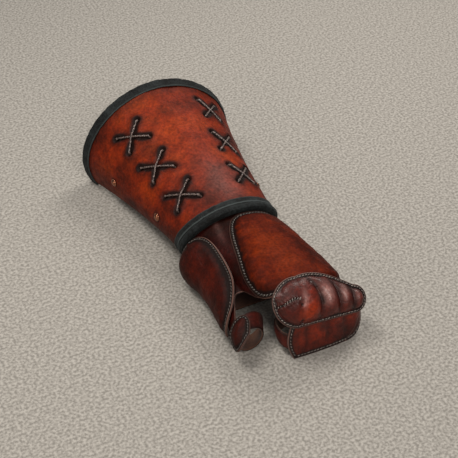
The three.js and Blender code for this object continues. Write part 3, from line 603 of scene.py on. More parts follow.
def filled_section(section, gap):
    """More points on the long straight stretches of a closed section."""
    pieces = []
    for a, b in zip(section, np.roll(section, -1, axis=0)):
        count = max(int(np.ceil(np.linalg.norm(b - a) / gap)), 1)
        pieces.append(a + (b - a) * (np.arange(count) / count)[:, None])
    return np.concatenate(pieces)


def above_floor(points):
    """Nothing hangs below the floor: lower points are pressed flat onto it."""
    points[..., 2] = np.maximum(points[..., 2], 0.0)
    return points


def binding(name, along, into, corners, count, puckers, worn, dark_lines):
    """A section with small waves across it, carried along the cuff's edge and pressed onto the floor."""
    section = filled_section(rounded_section(corners, 0.7), 1.1)
    turn, along = np.linspace(-edge_angle, edge_angle, count), np.full(count, along)
    place, out = cuff_surface(along, turn), normal_of(cuff_surface, along, turn)[:, None]
    side = unit(cuff_surface(along + into * 1e-3, turn) - place)[:, None]
    seen = section[:, 1] > 0
    ring = place[:, None] + section[:, 0, None] * side + section[:, 1, None] * out
    lift = puckers * (waves(ring, 5.0, 21) + 0.6 * waves(ring, 11.0, 22)) * seen
    outward = unit(section - section.mean(axis=0))
    ring = ring + lift[..., None] * (outward[:, 0, None] * side + outward[:, 1, None] * out)
    paints = {key: np.broadcast_to(seen * np.maximum.reduce([
        share * bell(section[:, 0] - line, 0.6) for line, share in lines]), ring.shape[:2])
        for key, lines in (("wear_and_highlight", worn), ("dye_and_shade", dark_lines))}
    finish_piece(tube_of(name, above_floor(ring), suede, paints), "binding_suede", name)


rim_width, band_width, band_roll = 9.5, 14.0, 2.4
crease = band_width * 0.42
top, bottom = seat_gap + binding_wall, -cuff_wall - seat_gap
rim_corners = [(rim_width, seat_gap), (rim_width, top), (-seat_gap, top), (-top, 0), (-top, -cuff_wall),
               (-seat_gap, bottom - binding_wall), (rim_width, bottom - binding_wall), (rim_width, bottom),
               (-seat_gap, bottom), (-seat_gap, seat_gap)]
band_corners = [(band_width, seat_gap), (band_width, top), (crease + 1, top), (crease, top - binding_wall * 0.6),
                (crease - 1.4, top + band_roll * 0.35), (crease * 0.4, top + band_roll * 0.5), (-seat_gap, top),
                (-top, -cuff_wall * 0.4), (-seat_gap, bottom - binding_wall), (9, bottom - binding_wall),
                (9, bottom), (-seat_gap, bottom), (-seat_gap, seat_gap)]
binding("rim_binding", cuff_edge, 1, rim_corners, 420, 0.16, [(rim_width - 0.3, 0.5)], [(rim_width - 2.2, 0.7)])
# On the wrist band the dark line in the crease is painted shade, and the pale line beside it a painted highlight.
binding("wrist_band", 1 - cuff_edge, -1, band_corners, 360, 0.14,
        [(crease + 1.4, 0.75), (band_width - 0.3, 0.35)], [(crease, 1.0), (band_width - 2.0, 0.4)])

# %% [markdown]
# ## Lacing
# Each cross is two lengths of cord that come out of one hole and go into the one opposite, and the
# second passes over the first. A cord is a round section carried along its path, with a two-ply twist:
# the radius swells and shrinks twice round, and the pattern turns along the cord.

# %% Lacing
cord_twist_length = 9.0


def lace(row, slope, lift):
    """Path: over the leather between the holes, down into them at both ends. Radius: r (1 + 0.13 cos 2a),
    and a third more where the cord bends down."""
    t = np.linspace(-1.06, 1.06, 64)
    a, b = cord_place(row, slope, t)
    height = lace_radius * 0.9 + lift * bell(t, 0.25) - 3.4 * smooth_step(np.abs(t), 0.9, 1.06)
    path = over(cuff_surface, a, b, height)
    heading = unit(np.gradient(path, axis=0))
    side = unit(np.cross(heading, normal_of(cuff_surface, a, b)))
    angle = np.linspace(0, 2 * np.pi, 15)[:-1]
    twist = 2 * (angle - travelled(path)[:, None] * 2 * np.pi / cord_twist_length)
    radius = lace_radius * (1 + 0.35 * bell(np.abs(t) - 0.92, 0.05))[:, None] * (1 + 0.13 * np.cos(twist))
    return (path[:, None] + (radius * np.cos(angle))[..., None] * side[:, None]
            + (radius * np.sin(angle))[..., None] * np.cross(side, heading)[:, None])


for number, row in enumerate(cross_rows, 1):
    under = tube_of(f"lacing_{number}_under", lace(row, 1, 0.0), lace_cord)
    finish_piece(under, "lace_cord", f"lacing_{number}")
    finish_piece(tube_of(f"lacing_{number}_over", lace(row, -1, lace_radius * 1.7), lace_cord), "lace_cord")

# %% [markdown]
# ## Rivets
# A domed copper head on a flat washer. A profile turned about the rivet's axis gives both in one
# surface: the washer's rim, a narrow groove, and the dome.

# %% Rivets
rivet_profile = np.array([[0, 0.0], [1.0, 0.0], [1.03, 0.12], [1.0, 0.25], [0.86, 0.3], [0.8, 0.26], [0.76, 0.36],
                          [0.66, 0.62], [0.5, 0.83], [0.3, 0.95], [0.12, 0.995], [0, 1.0]])


def rivet(name, along, turn):
    """Circle radius and height from the profile, about the cuff's outward direction."""
    along, turn = np.array([along]), np.array([turn])
    seat, out = over(cuff_surface, along, turn, np.array([seat_gap])), normal_of(cuff_surface, along, turn)
    side = unit(np.cross(out, [0, 1, 0]))
    angle = np.linspace(0, 2 * np.pi, 41)[:, None, None]
    radius, height = rivet_profile[:, 0, None] * rivet_radius, rivet_profile[:, 1, None] * rivet_height
    points = seat + radius * (np.cos(angle) * side + np.sin(angle) * np.cross(out, side)) + height * out
    finish_piece(surface_of(name, points, rivet_copper), "rivet_copper", name)


for end, (along, turn, _) in strap_rows.items():
    rivet(f"rivet_{end}_thumb_side", along, -turn)
    rivet(f"rivet_{end}_little_side", along, turn)

# %% [markdown]
# ## Glove body
# Thin leather over the back of the hand and the thumb's root. Its section is an oval that narrows and
# rolls toward the little finger, joined to the thumb's circle: from the hand's middle line, the farther
# of the two counts, blended where they cross. The plates sit on this surface.

# %% Hand surface
hand_start, hand_length = 24.0, 124.0
hand_half_width, hand_half_height = 41.0, 30.0
knuckle_shift, knuckle_rise, knuckle_roll = 15.0, 6.0, -14.0
thumb_radius, thumb_reach, thumb_drop = 22.0, 33.0, 7.0
blend_power, hand_power = 16, 2.3
hand_rows = {
    "at": [0.0, 0.12, 0.4, 0.7, 1.0, 1.12],
    "shift": [0.0, 0.0, 0.25, 0.65, 1.0, 1.1],
    "rise": [0.0, 0.04, 0.3, 0.9, 1.0, 1.0],
    "width": [0.97, 0.98, 1.0, 1.0, 1.0, 0.97],
    "height": [0.95, 0.97, 1.0, 0.88, 0.76, 0.7],
    "roll": [0.0, 0.1, 0.4, 0.75, 1.0, 1.0],
    "reach": [0.75, 1.0, 0.82, 0.9, 1.24, 1.32],
    "drop": [0.5, 0.9, 1.15, 1.5, 2.0, 2.2],
    "thumb": [0.75, 0.97, 1.0, 0.92, 0.7, 0.6],
}


def hand_share(key, at):
    return smooth_table(hand_rows["at"], hand_rows[key], at)


def hand_centre(at):
    return stack(hand_x + knuckle_shift * hand_share("shift", at), hand_start - hand_length * at,
                 cuff_axis_height + knuckle_rise * hand_share("rise", at))


def thumb_centre(at):
    return stack(hand_x - thumb_reach * hand_share("reach", at), hand_start - hand_length * at,
                 cuff_axis_height - thumb_drop * hand_share("drop", at))


def thumb_size(at):
    return thumb_radius * hand_share("thumb", at)


def oval_reach(at, turn):
    """The hand's own oval: (|x/a|^2.3 + |z/b|^2.3)^(-1/2.3) in the direction of the rolled turn."""
    s, c = sin_cos(turn + knuckle_roll * hand_share("roll", at))
    return (np.abs(s / (hand_half_width * hand_share("width", at))) ** hand_power
            + np.abs(c / (hand_half_height * hand_share("height", at))) ** hand_power) ** (-1 / hand_power)


def from_middle(at, turn, reach):
    """The point at a distance from the hand's middle line, in the direction of the turn."""
    s, c = sin_cos(turn)
    return hand_centre(at) + stack(s * reach, 0 * reach, c * reach)


def hand_surface(at, turn):
    """Distance from the middle line: (oval^16 + ball^16)^(1/16), in the direction of the turn. The ball
    is where that direction leaves the thumb's circle, and it falls away fast beside the circle."""
    away, radius = thumb_centre(at) - hand_centre(at), thumb_size(at)
    s, c = sin_cos(turn)
    ahead = away[..., 0] * s + away[..., 2] * c
    beside = np.abs(away[..., 0] * c - away[..., 2] * s)
    past = np.maximum(beside - radius, 0)
    ball = np.maximum(ahead + np.sqrt(np.maximum(radius**2 - beside**2, 0)) - 3 * past, 1)
    reach = (oval_reach(at, turn) ** blend_power + ball**blend_power) ** (1 / blend_power)
    return from_middle(at, turn, reach)


def bridged_surface(at, turn):
    """The hand's surface, but the valley beside the thumb is bridged as a stiff plate does: from where a
    straight line touches the thumb's circle, it follows that line to a point on the hand's own oval."""
    away, radius = thumb_centre(at) - hand_centre(at), thumb_size(at)
    goal_turn = -47 - 20 * at
    goal_x, goal_z = (oval_reach(at, goal_turn) * part for part in sin_cos(goal_turn))
    gap_x, gap_z = goal_x - away[..., 0], goal_z - away[..., 2]
    normal = np.arctan2(gap_x, gap_z) - np.arccos(np.minimum(radius / np.hypot(gap_x, gap_z), 1))
    touch = np.arctan2(away[..., 0] + radius * np.sin(normal), away[..., 2] + radius * np.cos(normal))
    line = (goal_x * np.sin(normal) + goal_z * np.cos(normal)) / np.cos(np.radians(turn) - normal)
    return np.where((np.radians(turn) > touch)[..., None], from_middle(at, turn, line), hand_surface(at, turn))


def thumb_surface(at, turn):
    """The thumb's own circle along the hand."""
    s, c = sin_cos(turn)
    return thumb_centre(at) + stack(s * thumb_size(at), 0 * thumb_size(at), c * thumb_size(at))

# %% Glove body mesh
body_sides = (-119, 108)
body_ends = np.array([(-119, 0.8), (-112, 0.98), (-100, 0.95), (-86, 0.7), (-72, 0.88), (-55, 0.94), (60, 0.94),
                      (108, 0.84)])  # turn, and the share of the hand's length that the body reaches there
u = edge_spaced(100.0, 0.9, 120) / 100
v = edge_spaced(body_sides[1] - body_sides[0], 0.9, 240) + body_sides[0]
share, turn = np.meshgrid(u, v, indexing="ij")
body_reach = smooth_table(*body_ends.T, turn)
at = share * body_reach
skin = hand_surface(at, turn)
to_end = (1 - share) * body_reach * hand_length
to_side = np.minimum(turn - body_sides[0], body_sides[1] - turn) * 0.75
to_border = np.minimum(to_end, to_side)
fullness = round_edge(share * hand_length, 0.8) * round_edge(to_end, 0.8) * round_edge(to_side, 0.8)
web = bell(turn + 72, 20)
crest = smooth_step(at, 0.02, 0.08) * (1 - smooth_step(at, 0.2, 0.36)) * bell(turn + 33 + 50 * at, 5)
folds = 0.22 * waves(skin, 21, 31) + 0.4 * web * waves(skin * [1, 0.45, 1], 10, 32) + 0.8 * crest
outer, inner = two_sides(skin, normal_of(hand_surface, at, turn), body_wall,
                         folds * smooth_step(to_border, 0, 5), fullness)
tide = 0.5 + 0.5 * waves(skin, 14, 33)
# Painted shade: the web beside the thumb is darkened by the tide. The crest's polish lays a painted highlight on the
# fold.
sheet_of("hand_body", "body_leather", outer, inner, body_leather, {
    "dye_and_shade": np.maximum(0.8 * bell(to_border, 4), 0.35 * tide * web),
    "wear_and_highlight": 0.5 * bell(to_border - 0.7, 0.5), "polish_and_painted_sheen": 0.1 * crest})

# %% [markdown]
# ## Moulded plates
# The plates are cut from thick leather, wet-moulded over a form so that the middle stands up, and
# stitched down through a flat flange that is dyed black. The surface runs in rings from the middle to
# the outline. Rings near the edge are set by their distance to it in millimetres, so that the flange
# and the seam keep their width all round.

# %% Plate outline and rings
flange_width = 5.0
plate_rise = 3.0
plate_edge = 1.1
edge_rings = np.array([0, 0.04, 0.15, 0.4, 0.8, 1.2, 1.7, 2.1, 2.5, 2.9, 3.4, 4.0, 4.6, 5.2, 5.9, 6.7, 7.6, 8.6, 9.7,
                       11.0, 12.5, 14.0])


def swell(inset, rise):
    return rise * smooth_step(inset, flange_width * 0.6, flange_width * 2.2)


def ringed(place, columns, inner_rings):
    """Shares of the way from the middle to the outline, one row for each ring, and each ring's distance
    to the outline: the length of the way, times how squarely it meets the outline."""
    angle = np.linspace(0, 2 * np.pi, columns + 1)
    rim = place(np.ones_like(angle), angle, 0.0)
    inward, tangent = place(np.full_like(angle, 0.97), angle, 0.0) - rim, np.gradient(rim, axis=0)
    tangent[[0, -1]] = rim[1] - rim[-2]
    square = np.linalg.norm(np.cross(unit(inward), unit(tangent)), axis=-1)
    reach = np.linalg.norm(inward, axis=-1) * square / 0.03
    close = 1 - edge_rings[:, None] / reach
    rest = close[-1] * np.linspace(1, 0, inner_rings + 1)[1:, None]
    ring = np.clip(np.concatenate([close, rest]), 0, 1)
    return ring, np.broadcast_to(angle, ring.shape), (1 - ring) * reach


def border_paint(points, inset, seed, flange=flange_width, worn=0.35):
    """Black dye over the flange that fades unevenly past it, and a thin worn line on the cut edge."""
    tide = waves(points, 9, seed)
    dye_and_shade = 0.98 * (1 - smooth_step(inset, flange + 0.4 * tide, flange + 3.4 + 1.2 * tide))
    dye_and_shade = np.maximum(dye_and_shade, 0.5 * (1 - smooth_step(inset, flange, flange + 12 + 5 * tide)))
    return {"dye_and_shade": dye_and_shade, "wear_and_highlight": worn * bell(inset - 0.3, 0.4)}


def moulded(name, place, columns, inner_rings, rise, leather, seed, size, depth, seam_at, **border):
    """The outer side stands up by the swell, dips at the seam and has small dents. Both sides meet at
    the outline. Returns the line of the seam, at a distance from the outline."""
    ring, angle, inset = ringed(place, columns, inner_rings)
    middle = plate_wall / 2 + swell(inset, rise)
    half = plate_wall / 2 * round_edge(inset, plate_edge)
    smooth = place(ring, angle, middle + half)
    dents = depth * waves(smooth, size, seed) + 0.12 * waves(smooth, 12, seed + 1)
    dents = dents * smooth_step(inset, 3, 9) - 0.4 * bell(inset - 2.5, 0.8) * smooth_step(inset, 0.5, 1.5)
    top = place(ring, angle, middle + half + dents * round_edge(inset, plate_edge))
    sheet_of(name, "plate_leather", top, place(ring, angle, middle - half), leather,
             border_paint(top, inset, seed + 2, **border))
    return np.stack([[np.interp(seam_at, inset[:, j], top[:, j, k]) for k in range(3)]
                     for j in range(top.shape[1])])

# %% Back plate and thumb plate
dorsal_edges = {"at": [0.0, 0.2, 0.46, 0.72, 1.02], "near": [-14, -29, -47, -67, -76], "far": [94, 96, 98, 98, 96]}
thumb_edges = {"at": [0.0, 0.2, 0.42, 0.6, 0.75, 1.0], "near": [-116, -119, -119, -119, -119, -119],
               "far": [-55, -55, -61, -72, -86, -106]}


def plate_place(edges, start, end, square, lift, under=hand_surface):
    """A rounded rectangle on the hand: its two shares are reach * cos and reach * sin of the way round,
    with reach = ring / (|cos|^p + |sin|^p)^(1/p)."""
    def place(ring, angle, height):
        s, c = np.sin(angle), np.cos(angle)
        reach = ring * (np.abs(s) ** square + np.abs(c) ** square) ** (-1 / square)
        along = start + (end - start) * (1 + reach * c) / 2
        near, far = (smooth_table(edges["at"], edges[side], along) for side in ("near", "far"))
        return over(under, along, near + (far - near) * (1 + reach * s) / 2, lift + np.asarray(height) + 0 * ring)
    return place


dorsal_seam = moulded("dorsal_plate", plate_place(dorsal_edges, 0.094, 1.02, 5, 0.7), 420, 42, plate_rise,
                      plate_leather, 41, 38, 0.45, 2.8)
thumb_seam = moulded("thumb_plate", plate_place(thumb_edges, 0.07, 0.86, 3.2, 1.9, bridged_surface), 360, 26,
                     plate_rise, thumb_leather, 51, 30, 0.4, 2.6, worn=0.55)

# %% Thumb tip plate
tip = {"along": 0.985, "turn": -46.0, "half_length": 14.5, "half_width": 12.3, "slant": 38.0, "rise": 1.5}


def tip_place(ring, angle, height):
    """A leaf: length * cos and width * sin * (1 - 0.2 |cos|) of the way round, slanted on the thumb."""
    s, c = sin_cos(tip["slant"])
    per_degree = np.linalg.norm(thumb_surface(tip["along"], 1.0) - thumb_surface(tip["along"], 0.0))
    a = ring * tip["half_length"] * np.cos(angle)
    b = ring * tip["half_width"] * np.sin(angle) * (1 - 0.2 * np.abs(np.cos(angle)))
    return over(thumb_surface, tip["along"] + (a * c + b * s) / hand_length,
                tip["turn"] + (b * c - a * s) / per_degree, 0.6 + np.asarray(height) + 0 * ring)


tip_seam = moulded("thumb_tip_plate", tip_place, 160, 8, tip["rise"], thumb_leather, 61, 14, 0.2, 2.2, flange=3.4)

# %% Plate seams
def away_from(centre, surface, line):
    """Outward direction at each point of a line on a surface, from the point's turn about a middle line."""
    at = (hand_start - line[:, 1]) / hand_length
    away = line - centre(at)
    return normal_of(surface, at, np.degrees(np.arctan2(away[:, 0], away[:, 2])))


stitched("plate_stitches", [
    (dorsal_seam, away_from(hand_centre, hand_surface, dorsal_seam),
     {"spacing": 3.3, "length": 3.5, "radius": 0.95, "slant": 32.0}),
    (thumb_seam, away_from(hand_centre, hand_surface, thumb_seam),
     {"spacing": 3.1, "length": 3.2, "radius": 0.7, "slant": 24.0}),
    (tip_seam, away_from(thumb_centre, thumb_surface, tip_seam),
     {"spacing": 2.9, "length": 2.7, "radius": 0.55})], brown_thread)

# %% [markdown]
# ## Knuckle guard
# One piece of leather moulded over the four knuckles, so it is a tapered dome with valleys between the
# knuckles. It is closed to a round end over the first knuckle by a dart: a wedge cut out and sewn up. A
# flat lip all round carries the seam. The surface runs in rings from a ridge line over the knuckles to
# the rim, and its section is worked out once: a dome that ends at its foot, and the lip.

# %% Guard surface
guard = {"x": 12.2, "y": -106.5, "z": 51.3, "span": 55.3, "index": 23.0, "little": 13.0, "yaw": -9.0, "dip": 11.5,
         "lean": 40.0, "bulge": 17.0, "crest": 6.0, "slimming": 0.7, "groove": 0.3, "groove_width": 5.0,
         "lip": 4.0, "lip_rise": 0.8, "foot_ring": 0.72, "shoulder": 0.62, "index_low": 0.2}
guard_grooves = [(0.39, 13.0), (0.715, 10.5), (0.967, 6.0)]  # place along the span, and bow in mm
stretches = {"straight": 14, "little": 8, "index": 16}
drape_gap = 1.5
yaw, dip, lean = (np.radians(guard[key]) for key in ("yaw", "dip", "lean"))
guard_along = np.array([np.cos(yaw) * np.cos(dip), np.sin(yaw) * np.cos(dip), -np.sin(dip)])
guard_out = np.array([0, -np.cos(lean), np.sin(lean)])
guard_out = unit(guard_out - guard_along * (guard_out @ guard_along))
guard_across = -np.cross(guard_out, guard_along)
guard_start = np.array([guard["x"], guard["y"], guard["z"]])


def guard_rim(way):
    """Place on the ridge, direction and radius for a way round of 0 to 1, in four stretches."""
    straight, little, index = stretches["straight"], stretches["little"], stretches["index"]
    at = (way % 1.0) * (2 * straight + little + index)
    ends = np.cumsum([straight, little, straight])
    out, back = at / straight, 1 - (at - ends[1]) / straight
    taper_out, taper_back = (guard["index"] + (guard["little"] - guard["index"]) * t for t in (out, back))
    crest = guard["crest"] * np.sin(np.pi * np.clip(back, 0, 1) ** 0.8)
    choices, flat = [at < end for end in ends], 0 * at
    place = np.select(choices, [out, 1 + flat, back], flat)
    angle = np.select(choices, [90 + flat, 90 - 180 * (at - ends[0]) / little, -90 + flat],
                      -90 - 180 * (at - ends[2]) / index)
    radius = np.select(choices, [taper_out, guard["little"] + flat, taper_back + crest], guard["index"] + flat)
    return place, np.radians(angle), radius


def drape(points, height):
    """Where a point is nearer to the hand's middle line than the back plate's top, it moves out to it."""
    at = (hand_start - points[..., 1]) / hand_length
    middle = hand_centre(at)
    away = points - middle
    radius = np.hypot(away[..., 0], away[..., 2])
    turn = np.degrees(np.arctan2(away[..., 0], away[..., 2]))
    skin = np.linalg.norm(hand_surface(at, turn) - middle, axis=-1)
    top = 0.7 + plate_wall + swell((1.02 - at) * hand_length, plate_rise)
    fade = (1 - smooth_step(at, 1.02, 1.07)) * smooth_step(turn, -66, -50)
    push = np.maximum(skin + top + drape_gap + height - radius, 0) * fade
    return middle + away * (1 + push / radius)[..., None]


def guard_profile(ring, radius, crown):
    """Out from the ridge and up. To the foot, x = sin of the way there and the height is the crown's
    times (1 - x^2)^0.62. From the foot to the rim runs the lip, a wall thick and nearly flat."""
    past = np.clip((ring - guard["foot_ring"]) / (1 - guard["foot_ring"]), 0, 1)
    x = np.sin(np.pi / 2 * np.minimum(ring / guard["foot_ring"], 1))
    foot = 1 - guard["lip"] / radius
    dome = np.maximum(crown - plate_wall - guard["lip_rise"], 0) * (1 - x * x + 1e-9) ** guard["shoulder"]
    return radius * (foot * x + (1 - foot) * past), plate_wall + guard["lip_rise"] * (1 - past) + dome


def guard_plan(ring, way):
    """The guard seen from over it: w along it, q across it, and how deep in a valley, from 0 to 1.3. The
    valleys between the knuckles bow toward the little finger."""
    place, angle, radius = guard_rim(way)
    reach, _ = guard_profile(ring, radius, guard["bulge"])
    w, q = place * guard["span"] + reach * np.cos(angle), reach * np.sin(angle)
    away = [w + bow * ((q - 6) / 29) ** 2 - groove * guard["span"] for groove, bow in guard_grooves]
    return w, q, sum(bell(gap, guard["groove_width"]) + 0.3 * bell(gap, 1.2) for gap in away)


def guard_surface(ring, way, depth=0.0):
    """The profile stands on the rim's frame, and the valleys lower its crown. Depth goes in from the
    outer side, square to the profile."""
    _, angle, radius = guard_rim(way)
    w, q, dent = guard_plan(ring, way)
    low_index = guard["index_low"] * (1 - smooth_step(w, -2, guard_grooves[0][0] * guard["span"]))
    slim = 1 + (guard["little"] / guard["index"] - 1) * np.clip(w / guard["span"], 0, 1) * guard["slimming"]
    crown = guard["bulge"] * slim * (1 - low_index) * (1 - guard["groove"] * dent)
    _, height = guard_profile(ring, radius, crown)
    before, after = (guard_profile(np.clip(ring + step, 0, 1), radius, crown) for step in (-0.03, 0.03))
    run, drop = after[0] - before[0], (before[1] - after[1]) * (ring > 0)
    inset = np.asarray(depth) / np.maximum(np.hypot(run, drop), 1e-9)
    dome = (guard_start + guard_along * (w - inset * drop * np.cos(angle))[..., None]
            + guard_across * (q - inset * drop * np.sin(angle))[..., None]
            + guard_out * (height - inset * run)[..., None])
    return drape(dome, plate_wall - np.asarray(depth))

# %% Guard grid
# The dart's line, the sunk knots of the seam and the painted highlights are (w, q) on the plan, in mm.
dart_path = np.array([[-21.0, 5.0], [-18.8, 3.9], [-12.4, -0.1], [-6.1, -3.6], [-0.2, -3.5]])
guard_knots = [(0.3, 1.7), (2.8, 17.2), (27.2, 17.3), (44.7, 14.0)]
guard_painted_highlights = [(3.8, -2.6, 2.2, 0.7), (25.6, -6.5, 5.5, 1.2), (43.5, -8.0, 2.8, 0.85), (56.5, -4.0, 2.5, 0.25)]
guard_amber = {"w": 8.5, "q": 8.0, "half_length": 8.0, "half_width": 8.5}
lip_insets = np.array([0, 0.05, 0.2, 0.5, 0.9, 1.3, 1.7, 2.1, 2.5, 2.9, 3.3, 3.7])


def dart_distance(w, q):
    """How far a point of the plan is from the dart's line, and how far along the line from the rim."""
    best, along, before = np.full(w.shape, 1e9), np.zeros(w.shape), travelled(dart_path)
    for start, stop, from_start in zip(dart_path[:-1], dart_path[1:], before):
        away, t = from_segment(np.stack([w, q], axis=-1), start, stop)
        along = np.where(away < best, from_start + t * np.linalg.norm(stop - start), along)
        best = np.minimum(best, away)
    return best, along


def lip_ring(inset):
    """The ring at a distance from the rim, on the lip."""
    return 1 - inset / guard["lip"] * (1 - guard["foot_ring"])


ring_rows = np.concatenate([lip_ring(lip_insets), np.linspace(guard["foot_ring"], 0, 52)])
ring, way = np.meshgrid(ring_rows, np.linspace(0, 1, 417), indexing="ij")
guard_inset = (1 - ring) / (1 - guard["foot_ring"]) * guard["lip"]
guard_skin = guard_surface(ring, way)
w, q, valley = guard_plan(ring, way)
to_dart, along_dart = dart_distance(w, q)
print("knuckle guard grid", ring.shape, "dart", round(float(travelled(dart_path)[-1]), 1), "mm long")

# %% Guard mesh
closed = 1 - smooth_step(along_dart, 19.0, 23.0)
puckers = 0.25 * np.sin(2 * np.pi * along_dart / 2.8) * bell(to_dart, 3.2)
to_knots = [np.hypot(w - knot_w, q - knot_q) for knot_w, knot_q in guard_knots]
knots = sum(bell(away, 1.7) for away in to_knots)
dents = (0.12 * waves(guard_skin, 15, 71) + 0.02 * waves(guard_skin, 6, 72)
         + closed * (0.4 * bell(to_dart - 2.2, 1.3) - 0.8 * bell(to_dart, 0.7) + puckers)
         - 1.5 * knots + 0.5 * sum(bell(away - 3.4, 1.4) for away in to_knots) - 0.35 * bell(guard_inset - 2.0, 0.7))
dents = dents * smooth_step(guard_inset, 0.3, 1.2) * np.minimum(ring * 8, 1)
fullness = round_edge(guard_inset, plate_edge)
outer = guard_surface(ring, way, plate_wall / 2 * (1 - fullness) - dents * fullness)
inner = guard_surface(ring, way, plate_wall / 2 * (1 + fullness))

# %% Guard paint
paints = border_paint(guard_skin, guard_inset, 73, 2.6, 0.5)
tide = 0.5 + 0.5 * waves(guard_skin, 9, 74)
paints["amber"] = np.minimum(1.4 * bell(w - guard_amber["w"], guard_amber["half_length"])
                             * bell(q - guard_amber["q"], guard_amber["half_width"]), 1)
# Painted shade: the valleys between the knuckles are darkened, along with the dyed border, the knots, the dart and a
# faint tide.
dye_and_shade = np.maximum.reduce([
    paints["dye_and_shade"], 0.85 * np.clip(valley, 0, 1) ** 1.5 * (0.7 + 0.3 * tide), knots, 0.1 + 0.22 * tide,
    closed * (0.7 * bell(to_dart, 0.8) + 0.4 * bell(to_dart, 4.5))])
paints["dye_and_shade"] = dye_and_shade * (1 - 0.9 * paints["amber"] * (1 - knots))
# Painted highlights: the crowns of the domes get a pale sheen, put where the lights catch them.
paints["polish_and_painted_sheen"] = sum(strength * bell(w - shine_w, wide) * bell(q - shine_q, 8)
                       for shine_w, shine_q, wide, strength in guard_painted_highlights)
sheet_of("knuckle_guard", "guard_leather", outer, inner, guard_leather, paints)

# %% [markdown]
# ## Finger plate
# A soft plate hangs from the guard over the middle joints of the fingers. It wraps round the little
# finger, and shallow grooves run down it between the fingers. A raised fold with a worn line slants
# down toward the foot. Its free side and foot are stitched.

# %% Finger plate
finger = {"top": 37.0, "drop": 5.0, "left": 3.0, "right": 80.0, "front": -126.2, "lean": 7.0, "bow": 5.0,
          "swell": 5.0, "corner": 18.0, "rise": 14.0, "rise_from": 0.62}
finger_grooves = (15.0, 33.0, 51.0)
finger_front = finger["right"] - finger["corner"] - finger["left"]
finger_span = finger_front + np.pi / 2 * finger["corner"]


def finger_surface(share, up):
    """Straight along the front, then round a quarter circle. Height goes from the foot to the top edge."""
    length = share * finger_span
    past = np.maximum(length - finger_front, 0) / finger["corner"]
    free = finger["swell"] * np.sin(np.pi * up) * (1 - smooth_step(share, 0, 0.5))
    ahead = np.minimum(length, finger_front)
    low = finger["rise"] * smooth_step(share, finger["rise_from"], 1)
    z = low + (finger["top"] - finger["drop"] * share - low) * up
    y = finger["front"] + finger["lean"] * z / finger["top"] + finger["bow"] * (ahead / finger_front - 0.6) ** 2
    return stack(finger["left"] - free + ahead + finger["corner"] * np.sin(past),
                 y + finger["corner"] * (1 - np.cos(past)), z)


u = edge_spaced(finger["top"], 1.2, 56) / finger["top"]
v = edge_spaced(finger_span, 1.2, 120) / finger_span
up, share = np.meshgrid(u, v, indexing="ij")
skin = finger_surface(share, up)
height = (finger["top"] - finger["drop"] * share) - finger["rise"] * smooth_step(share, finger["rise_from"], 1)
to_foot, to_top = up * height, (1 - up) * height
to_free, to_end = share * finger_span, (1 - share) * finger_span
to_border, to_seam = np.minimum.reduce([to_foot, to_free, to_end, to_top]), np.minimum(to_foot, to_free)
grooves = sum(bell(to_free - place - 2.5 * np.sin(np.pi * up), 2.6) for place in finger_grooves)
lap_share = np.interp(up, [0, 0.1, 0.23, 0.34, 0.6, 1.0], [0.59, 0.62, 0.68, 0.72, 0.8, 0.9])
past_lap = (share - lap_share) * finger_span
lap = (1 - smooth_step(past_lap, -0.3, 0.5)) * bell(past_lap, 9)
dents = (0.8 * lap - 1.2 * grooves * smooth_step(to_foot, 3, 10) + 0.3 * waves(skin, 15, 81)
         + 0.12 * waves(skin, 6, 82))
dents = dents * smooth_step(to_border, 3, 7) - 0.4 * bell(to_seam - 2.6, 0.8)
outer, inner = two_sides(skin, normal_of(finger_surface, share, up), plate_wall,
                         dents * smooth_step(to_border, 0.3, 1.5), round_edge(to_border, plate_edge))
paints = border_paint(skin, to_seam, 83, 3.6, 0.6)
cloud = 0.5 + 0.5 * waves(skin, 17, 84)
# Painted shade: the grooves between the fingers and a band just below the fold's edge are darkened, besides the dyed
# border and a cloud of dye.
paints["dye_and_shade"] = np.maximum.reduce([paints["dye_and_shade"], 0.5 * np.clip(grooves, 0, 1), 0.55 * smooth_step(cloud, 0.6, 1.2),
                                   0.6 * (past_lap > 0) * bell(past_lap, 2)])
paints["wear_and_highlight"] = np.maximum(paints["wear_and_highlight"], 0.55 * bell(past_lap + 0.2, 0.6))
sheet_of("finger_plate", "guard_leather", above_floor(outer), above_floor(inner), finger_leather, paints)

# %% [markdown]
# ## Straps
# Plain straps of 2 mm leather close the gauntlet underneath, where the photograph doesn't show it. Each
# is a strip that starts inside a wall, leaves it, bends and runs flat across. The strip's edges are
# rounded and dyed.

# %% Straps
strap_lift = 3.0
strap_leave = 5.0
on_wall, bent = 0.3, 0.7
cuff_strap_width, palm_strap_width, finger_strap_width = 20.0, 22.0, 16.0


def under_wall(surface, along, width, length, clear):
    """A strap's place under a wall: at a share u of its width, at a turn, and deeper by a depth."""
    return lambda u, turn, depth: over(surface, along + (u - 0.5) * width / length, turn,
                                       -clear - np.asarray(depth) + 0 * u)


